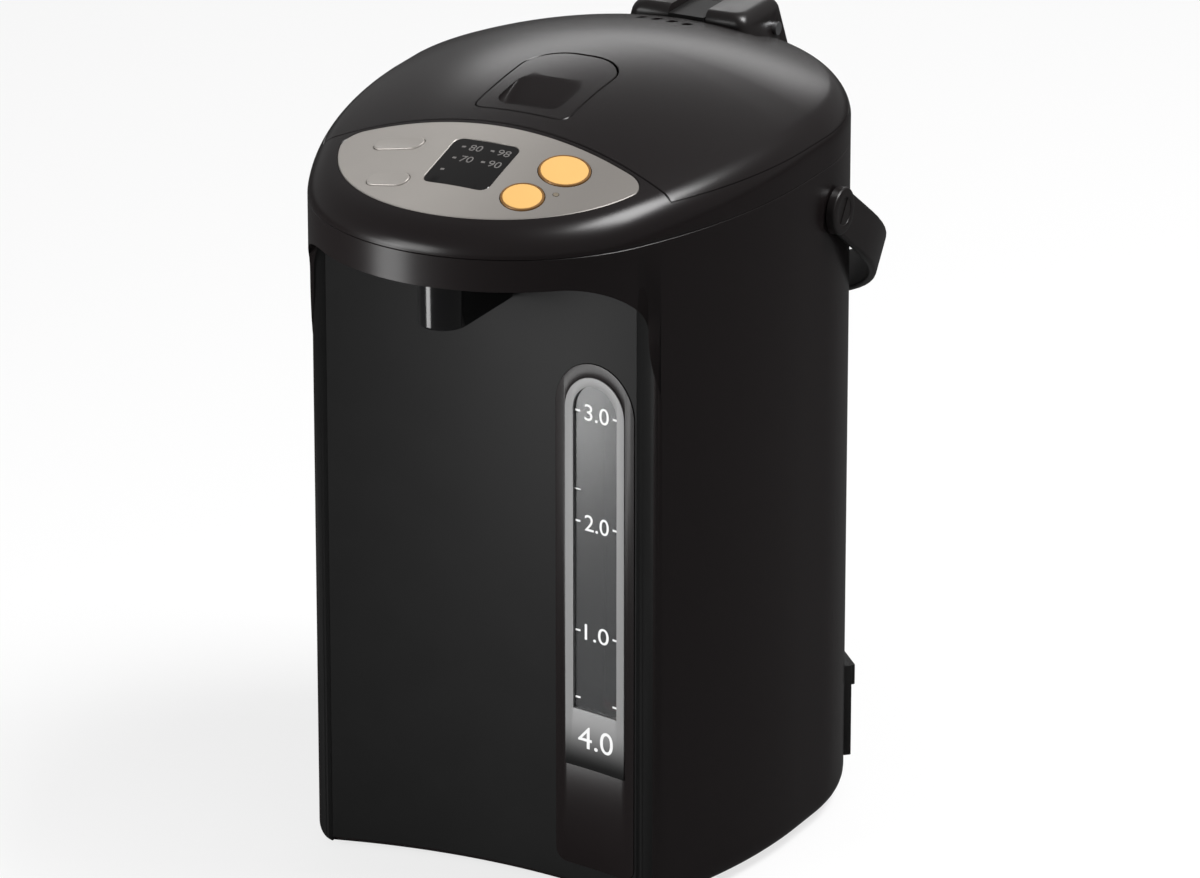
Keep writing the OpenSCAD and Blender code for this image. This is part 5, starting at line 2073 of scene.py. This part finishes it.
@dataclass
class Studio:
    """Pale floor, soft lamps and the camera.

    The floor and the background show white to the camera, and the floor keeps the object's shadow.
    """

    camera_at: Place = (1.48488, -2.83085, 1.37345)
    target: Place = (0.01146, -0.00639, 0.17859)
    lens: float = 232.05
    floor_size: float = 12.0
    floor_tone: float = 0.86
    floor_in_gloss: float = 0.09
    white: float = 1.02
    floor_glow: float = 0.72
    daylight: float = 0.24
    lamps: tuple[Softbox, ...] = (
        Softbox("key_box", (0.92, 0.40, 1.95), (0.8, 0.8), 46.0),
        Softbox("front_fill", (-0.9, -1.7, 0.5), (0.9, 0.9), 20.0),
        Softbox("near_strip", (-0.30, -0.44, 0.17), (0.16, 0.32), 1.1, (0.0, -0.1, 0.17)),
        Softbox("rear_box", (-0.7, 1.7, 0.95), (1.0, 0.4), 3.0),
    )

    def camera(self) -> None:
        """Sets the camera at the viewing angle."""
        data = bpy.data.cameras.new("camera")
        data.lens, data.sensor_width, data.sensor_fit = self.lens, 36.0, "HORIZONTAL"
        data.clip_end = 50.0
        view = bpy.data.objects.new("camera", data)
        view.location, view.rotation_euler = self.camera_at, facing(self.camera_at, self.target)
        bpy.context.scene.collection.objects.link(view)
        bpy.context.scene.camera = view

    def floor(self) -> None:
        """Lays the pale floor, which is dark where the object mirrors it."""
        bpy.ops.object.select_all(action="DESELECT")
        bpy.ops.mesh.primitive_plane_add(size=self.floor_size, location=(0, 0, 0))
        floor = bpy.context.object
        floor.name = "studio_floor"
        material = bpy.data.materials.new("pale_floor")
        material.use_nodes = True
        nodes, links = material.node_tree.nodes, material.node_tree.links
        matte = nodes["Principled BSDF"]
        matte.inputs["Base Color"].default_value = grey(self.floor_tone)
        matte.inputs["Roughness"].default_value = 0.9
        matte.inputs["Specular IOR Level"].default_value = 0.1
        glow, share = nodes.new("ShaderNodeEmission"), nodes.new("ShaderNodeMath")
        path, mix = nodes.new("ShaderNodeLightPath"), nodes.new("ShaderNodeMixShader")
        dark, calm = nodes.new("ShaderNodeBsdfDiffuse"), nodes.new("ShaderNodeMixShader")
        dark.inputs["Color"].default_value = grey(self.floor_in_gloss)
        glow.inputs["Strength"].default_value = self.white
        share.operation = "MULTIPLY"
        share.inputs[1].default_value = self.floor_glow
        for start, end in (
            (path.outputs["Is Camera Ray"], share.inputs[0]),
            (path.outputs["Is Glossy Ray"], calm.inputs["Fac"]),
            (matte.outputs["BSDF"], calm.inputs[1]), (dark.outputs["BSDF"], calm.inputs[2]),
            (share.outputs["Value"], mix.inputs["Fac"]), (calm.outputs["Shader"], mix.inputs[1]),
            (glow.outputs["Emission"], mix.inputs[2]),
            (mix.outputs["Shader"], nodes["Material Output"].inputs["Surface"]),
        ):
            links.new(start, end)
        floor.data.materials.append(material)

    def world(self) -> None:
        """Makes a white background for the camera and a dim one for the light."""
        world = bpy.data.worlds.new("studio")
        bpy.context.scene.world = world
        world.use_nodes = True
        nodes, links = world.node_tree.nodes, world.node_tree.links
        dim, bright = nodes["Background"], nodes.new("ShaderNodeBackground")
        path, mix = nodes.new("ShaderNodeLightPath"), nodes.new("ShaderNodeMixShader")
        for shader, strength in ((dim, self.daylight), (bright, self.white)):
            shader.inputs["Color"].default_value = grey(1.0)
            shader.inputs["Strength"].default_value = strength
        links.new(path.outputs["Is Camera Ray"], mix.inputs["Fac"])
        links.new(dim.outputs["Background"], mix.inputs[1])
        links.new(bright.outputs["Background"], mix.inputs[2])
        links.new(mix.outputs["Shader"], nodes["World Output"].inputs["Surface"])

    def build(self) -> None:
        """Sets up the floor, the background, the lamps and the colour handling."""
        self.floor()
        self.world()
        for lamp in self.lamps:
            lamp.hang()
        bpy.context.scene.view_settings.view_transform = "Standard"


def main() -> None:
    """Builds the pot and its studio, sub-assembly by sub-assembly."""
    logging.basicConfig(level=logging.INFO, format="%(message)s")
    form = BodyForm.from_frame()
    LOG.info("body %.1f mm wide, %.1f mm tall", 2 * form.half_width / MM, form.crown_top / MM)
    case, panel, studio = Case(form), ControlPanel(form), Studio()
    studio.camera()
    parts = (case, Gauge(form, case), Head(form, panel), panel, Lid(form), HingeHousing(), CarryHandle(),
             Fittings())
    for part in parts:
        part.build()
        LOG.info("%s done", type(part).__name__)
    studio.build()


if __name__ == "__main__":
    main()
